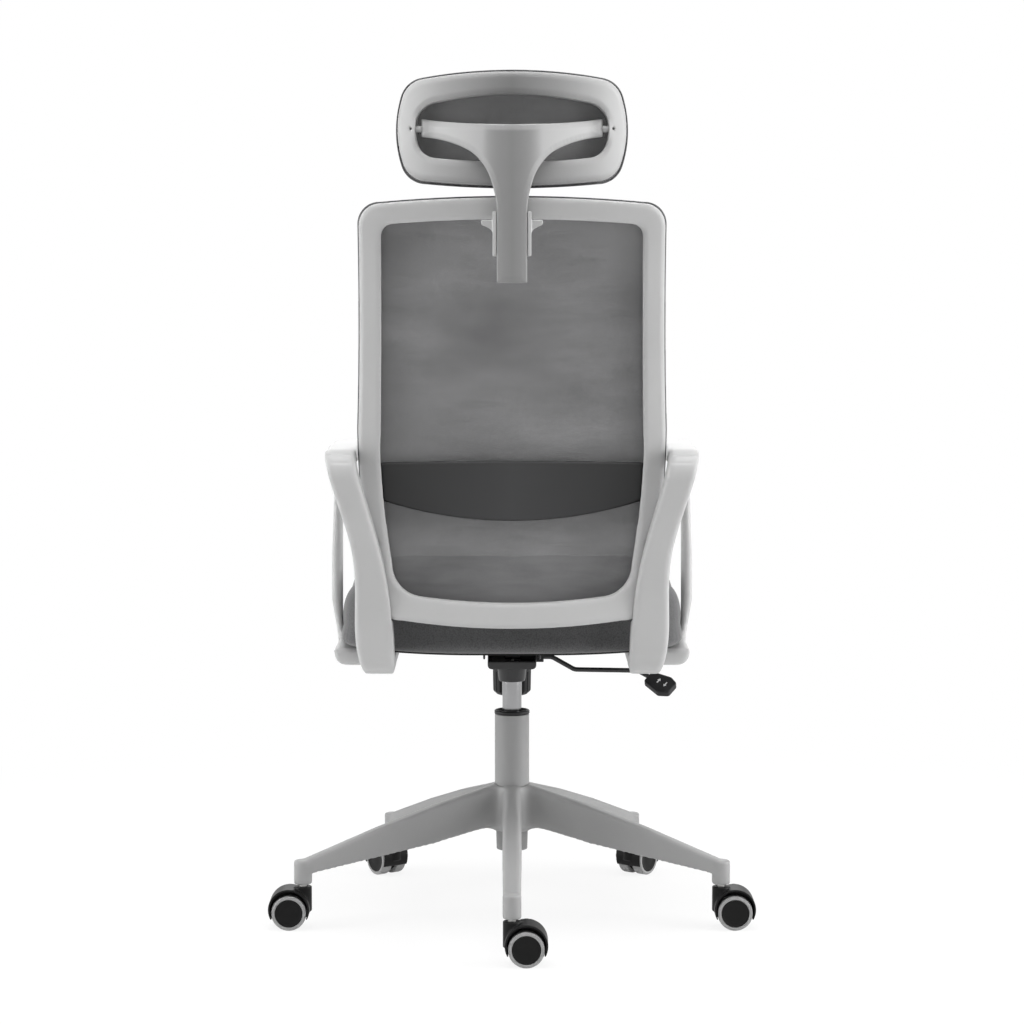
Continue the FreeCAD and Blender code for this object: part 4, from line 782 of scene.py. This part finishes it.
# %% Headrest pivots
boss_radius = 4.6 * MM
boss_line = bevelled([(0, stem_high.x - 1 * MM), (boss_radius, stem_high.x - 1 * MM),
                      (boss_radius, opening + 0.5 * MM), (0, opening + 0.5 * MM)], 0.6 * MM)
bosses = bmesh.new()
for side in (-1, 1):
    boss = lathe("boss", boss_line, 32)
    boss.data.transform(Matrix.Translation((0, pins_middle.y, pins_middle.z))
                        @ Matrix.Rotation(side * math.pi / 2, 4, "Y"))
    bosses.from_mesh(boss.data)
    bpy.data.objects.remove(boss)
both = bpy.data.meshes.new("headrest_pivot_bosses")
bosses.to_mesh(both)
bosses.free()
stand_for(add_object("headrest_pivot_bosses", both), "headrest_pins")

# %% [markdown]
# ## Stretched mesh
# The mesh is one layer of cloth pulled flat over its frame. It is laid out like a spider's web: spokes
# from the middle to the true edge, found by feeling for the CAD sheet with a ray, and rings between.
# The web's points lie on the CAD sheet, so the cloth has its curve. The back's long curve is then made
# even, and the headrest's cloth gets a thin dark edge, which shows round its ring from behind.

# %% Stretched mesh
def stretched(name, node, spokes, rings):
    source = frame["nodes"][node].data
    tree = BVHTree.FromPolygons([vertex.co for vertex in source.vertices],
                                [list(face.vertices) for face in source.polygons])
    low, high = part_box(node)
    middle = (low + high) / 2

    def touch(x, z):
        return tree.ray_cast(Vector((x, low.y - 0.05, z)), Vector((0, 1, 0)))[0]

    points = [touch(middle.x, middle.z)]
    for spoke in range(spokes):
        turn = 2 * math.pi * spoke / spokes
        way = Vector((math.cos(turn) * (high.x - low.x), math.sin(turn) * (high.z - low.z)))
        near = 0.0
        far = 1.0
        for _ in range(18):
            guess = (near + far) / 2
            if touch(middle.x + way.x * guess, middle.z + way.y * guess):
                near = guess
            else:
                far = guess
        for ring_number in range(1, rings + 1):
            part = near * ring_number / rings
            points.append(touch(middle.x + way.x * part, middle.z + way.y * part))
    faces = []
    for spoke in range(spokes):
        this = 1 + spoke * rings
        after = 1 + (spoke + 1) % spokes * rings
        faces.append((0, this, after))
        faces += [(this + k, this + k + 1, after + k + 1, after + k) for k in range(rings - 1)]
    return from_points(name, points, faces), points[rings::rings]


def even_depth(piece):
    """Evens out the small steps of a curved sheet: its depth becomes one smooth sum of powers of x and z."""
    places = points_of(piece.data)
    low = places.min(axis=0)
    high = places.max(axis=0)
    across, _, upward = ((places - (low + high) / 2) / ((high - low) / 2)).T
    powers = np.column_stack([across ** (2 * i) * upward ** j for i in range(3) for j in range(7)])
    inner = np.maximum(np.abs(across), np.abs(upward)) < 0.93
    share = np.linalg.lstsq(powers[inner], places[inner, 1], rcond=None)[0]
    smooth = powers @ share
    print(piece.name, "moved by at most", round(float(np.abs(smooth - places[:, 1]).max()) / MM, 2), "mm")
    places[:, 1] = smooth
    move_points(piece.data, places)


def bead(name, outline, radius, outward):
    """A thin round edge that follows a closed outline, a little outside it."""
    middle = sum(outline, Vector()) / len(outline)
    sides = 8
    points = []
    for index, spot in enumerate(outline):
        onward = (outline[(index + 1) % len(outline)] - outline[index - 1]).normalized()
        away = spot - middle
        away = (away - onward * away.dot(onward)).normalized()
        third = onward.cross(away)
        for step in range(sides):
            turn = 2 * math.pi * step / sides
            points.append(spot + away * (outward + radius * math.cos(turn)) + third * radius * math.sin(turn))
    total = len(points)
    faces = [(start + k, start + (k + 1) % sides, (start + sides + (k + 1) % sides) % total,
              (start + sides + k) % total) for start in range(0, total, sides) for k in range(sides)]
    return from_points(name, points, faces)


def area_of(piece):
    return sum(face.area for face in piece.data.polygons)


HEADREST_CLOTH_WIDTH = 0.345     # measured round the headrest's curve
for name, node in (("back_cloth", "back_mesh"), ("headrest_cloth", "headrest_mesh")):
    cloth, outline = stretched(name, node, 360, 60)
    if node == "back_mesh":
        even_depth(cloth)
    stand_for(cloth, node)
    if node == "headrest_mesh":
        # The headrest cloth takes the darker copy of the weave: painted shade inside the ring.
        dress(cloth, "headrest_weave_painted_shade")
        edge = dress(bead("headrest_cloth_edge", outline, 1.3 * MM, 0.4 * MM), "mesh_edge")
        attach(edge, body_of_node[node])
    low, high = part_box(node)
    area = area_of(cloth)
    width = high.x - low.x if node == "back_mesh" else HEADREST_CLOTH_WIDTH
    length = max(high.z - low.z, area / width)
    print(name, "cut from", round(width, 3), "by", round(length, 3), "m, area", round(area, 4))

# %% [markdown]
# ## Seat cushion
# The cushion is moulded foam in a tight knit cover. It is blown up like a balloon with a short cloth
# simulation, from a slightly smaller skin, which rounds it the way foam under tension rounds. Then it
# is held back inside the room that the CAD cushion has between the armrests.

# %% Seat cushion
MOST_SWELL = 9 * MM         # the furthest that any point of the cover may move
CROWN = 4 * MM              # how far the cover may rise above the CAD cushion
FLAT_FOOT = 18 * MM         # the lowest part of the cover, which stays flat on the seat pan
cushion = skinned(cad_copy("seat_cushion_cover", "seat_cushion"), 5 * MM)
relax(cushion.data, 4)
cushion_low, cushion_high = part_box("seat_cushion")
start = points_of(cushion.data)
centre = np.array((cushion_low + cushion_high) / 2)
move_points(cushion.data, centre + (start - centre) * np.array((0.985, 0.985, 0.96)))
cover = cushion.modifiers.new("cover", "CLOTH")
cover.settings.uniform_pressure_force = 4
cover.settings.use_pressure = True
cover.settings.effector_weights.gravity = 0
cover.settings.quality = 5
scene = bpy.context.scene
for step in range(1, 21):
    scene.frame_set(step)
cushion = fixed(cushion)
scene.frame_set(1)
swollen = points_of(cushion.data)
shift = swollen - start
length = np.linalg.norm(shift, axis=1, keepdims=True)
move_points(cushion.data, start + shift * np.minimum(1, MOST_SWELL / np.maximum(length, 1e-9)))
held = np.clip(points_of(cushion.data), np.array(cushion_low) + 0.2 * MM, np.array(cushion_high) + CROWN)
underside = start[:, 2] < cushion_low.z + FLAT_FOOT
held[underside] = start[underside]
move_points(cushion.data, held)
relax(cushion.data, 2)
finer = cushion.modifiers.new("finer", "SUBSURF")
finer.levels = 1
finer.render_levels = 1
fixed(cushion)
stand_for(cushion, "seat_cushion")

# %% [markdown]
# ## Everything else
# The small steel parts and the seat pan keep their CAD shapes: they are plain in reality too. They take
# their finishes here, with sharp edges kept sharp.

# %% Small parts
replaced = {node for piece in bpy.data.objects for node in piece.get("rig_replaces", [])}
for node in sorted(set(frame["nodes"]) - replaced):
    kept = frame["nodes"][node]
    dress(kept, slot_of_node[node], smooth=False)
    crisp(kept, 30)
print("CAD shapes kept:", len(frame["nodes"]) - len(replaced))

# %% [markdown]
# ## Studio
# A white floor runs to a white horizon. The camera, gloss and glass see the world as plain white, and
# the object itself is lit by large soft lamps: one high above, one on each side, and a weak one from the
# viewer's side. The floor is part emission for the camera only, so that a soft shadow stays on it.

# %% Floor and world
def seen_directly(tree):
    """1 for rays that the background should look white to."""
    path = tree.nodes.new("ShaderNodeLightPath")
    total = None
    for name in ("Is Camera Ray", "Is Glossy Ray", "Is Transmission Ray"):
        if total is None:
            total = path.outputs[name]
            continue
        both = tree.nodes.new("ShaderNodeMath")
        both.operation = "MAXIMUM"
        tree.links.new(total, both.inputs[0])
        tree.links.new(path.outputs[name], both.inputs[1])
        total = both.outputs[0]
    return total


world = bpy.data.worlds.new("studio")
bpy.context.scene.world = world
world.use_nodes = True
sky = world.node_tree
sky.nodes.clear()
ambient = sky.nodes.new("ShaderNodeBackground")
ambient.inputs["Color"].default_value = (0.24, 0.24, 0.24, 1)
white = sky.nodes.new("ShaderNodeBackground")
white.inputs["Color"].default_value = (1, 1, 1, 1)
blend = sky.nodes.new("ShaderNodeMixShader")
out = sky.nodes.new("ShaderNodeOutputWorld")
sky.links.new(seen_directly(sky), blend.inputs[0])
sky.links.new(ambient.outputs[0], blend.inputs[1])
sky.links.new(white.outputs[0], blend.inputs[2])
sky.links.new(blend.outputs[0], out.inputs[0])

FLOOR_HALF = 14.0
floor = from_points("floor", [(-FLOOR_HALF, -FLOOR_HALF, 0), (FLOOR_HALF, -FLOOR_HALF, 0),
                              (FLOOR_HALF, FLOOR_HALF, 0), (-FLOOR_HALF, FLOOR_HALF, 0)], [(0, 1, 2, 3)])
floor_paint = bpy.data.materials.new("floor_paint")
floor_paint.use_nodes = True
paint = floor_paint.node_tree
paint.nodes.clear()
matt = paint.nodes.new("ShaderNodeBsdfDiffuse")
matt.inputs["Color"].default_value = (0.9, 0.9, 0.9, 1)
glow = paint.nodes.new("ShaderNodeEmission")
mix = paint.nodes.new("ShaderNodeMixShader")
here = paint.nodes.new("ShaderNodeTexCoord")
distance = paint.nodes.new("ShaderNodeVectorMath")
distance.operation = "LENGTH"
fade = paint.nodes.new("ShaderNodeMapRange")
fade.inputs["From Min"].default_value = 0.5
fade.inputs["From Max"].default_value = 1.5
fade.inputs["To Min"].default_value = 0.86
share = paint.nodes.new("ShaderNodeMath")
share.operation = "MULTIPLY"
paint.links.new(here.outputs["Object"], distance.inputs[0])
paint.links.new(distance.outputs["Value"], fade.inputs["Value"])
paint.links.new(fade.outputs[0], share.inputs[1])
finish_node = paint.nodes.new("ShaderNodeOutputMaterial")
paint.links.new(seen_directly(paint), share.inputs[0])
paint.links.new(share.outputs[0], mix.inputs[0])
paint.links.new(matt.outputs[0], mix.inputs[1])
paint.links.new(glow.outputs[0], mix.inputs[2])
paint.links.new(mix.outputs[0], finish_node.inputs[0])
floor.data.materials.append(floor_paint)

# %% Lamps and camera
AIM = Vector((0, 0, 0.62))
LAMPS = {"overhead": ((0, -0.5, 3.1), 2.0, 84), "left_side": ((-2.6, -0.45, 1.15), 1.9, 54),
         "right_side": ((2.6, -0.45, 1.15), 1.9, 68), "viewer_side": ((0, -4.6, 1.9), 2.4, 2),
         "far_side": ((0, 3.4, 1.9), 2.4, 22)}
for name, (place, size, power) in LAMPS.items():
    light = bpy.data.lights.new(name, "AREA")
    light.shape = "SQUARE"
    light.size = size
    light.energy = power
    lamp = bpy.data.objects.new(name, light)
    lamp.location = place
    lamp.rotation_mode = "QUATERNION"
    lamp.rotation_quaternion = (AIM - Vector(place)).to_track_quat("-Z", "Y")
    lamp.visible_camera = False
    bpy.context.scene.collection.objects.link(lamp)

view = bpy.data.cameras.new("view")
view.sensor_width = 36.0
view.lens = 100.1
camera = bpy.data.objects.new("camera", view)
camera.location = (0, -4.1057, 0.951)
camera.rotation_euler = (math.radians(90 - 5.04), 0, 0)
bpy.context.scene.collection.objects.link(camera)
bpy.context.scene.camera = camera
bpy.context.scene.view_settings.view_transform = "Standard"
print("studio ready:", len(LAMPS), "lamps")
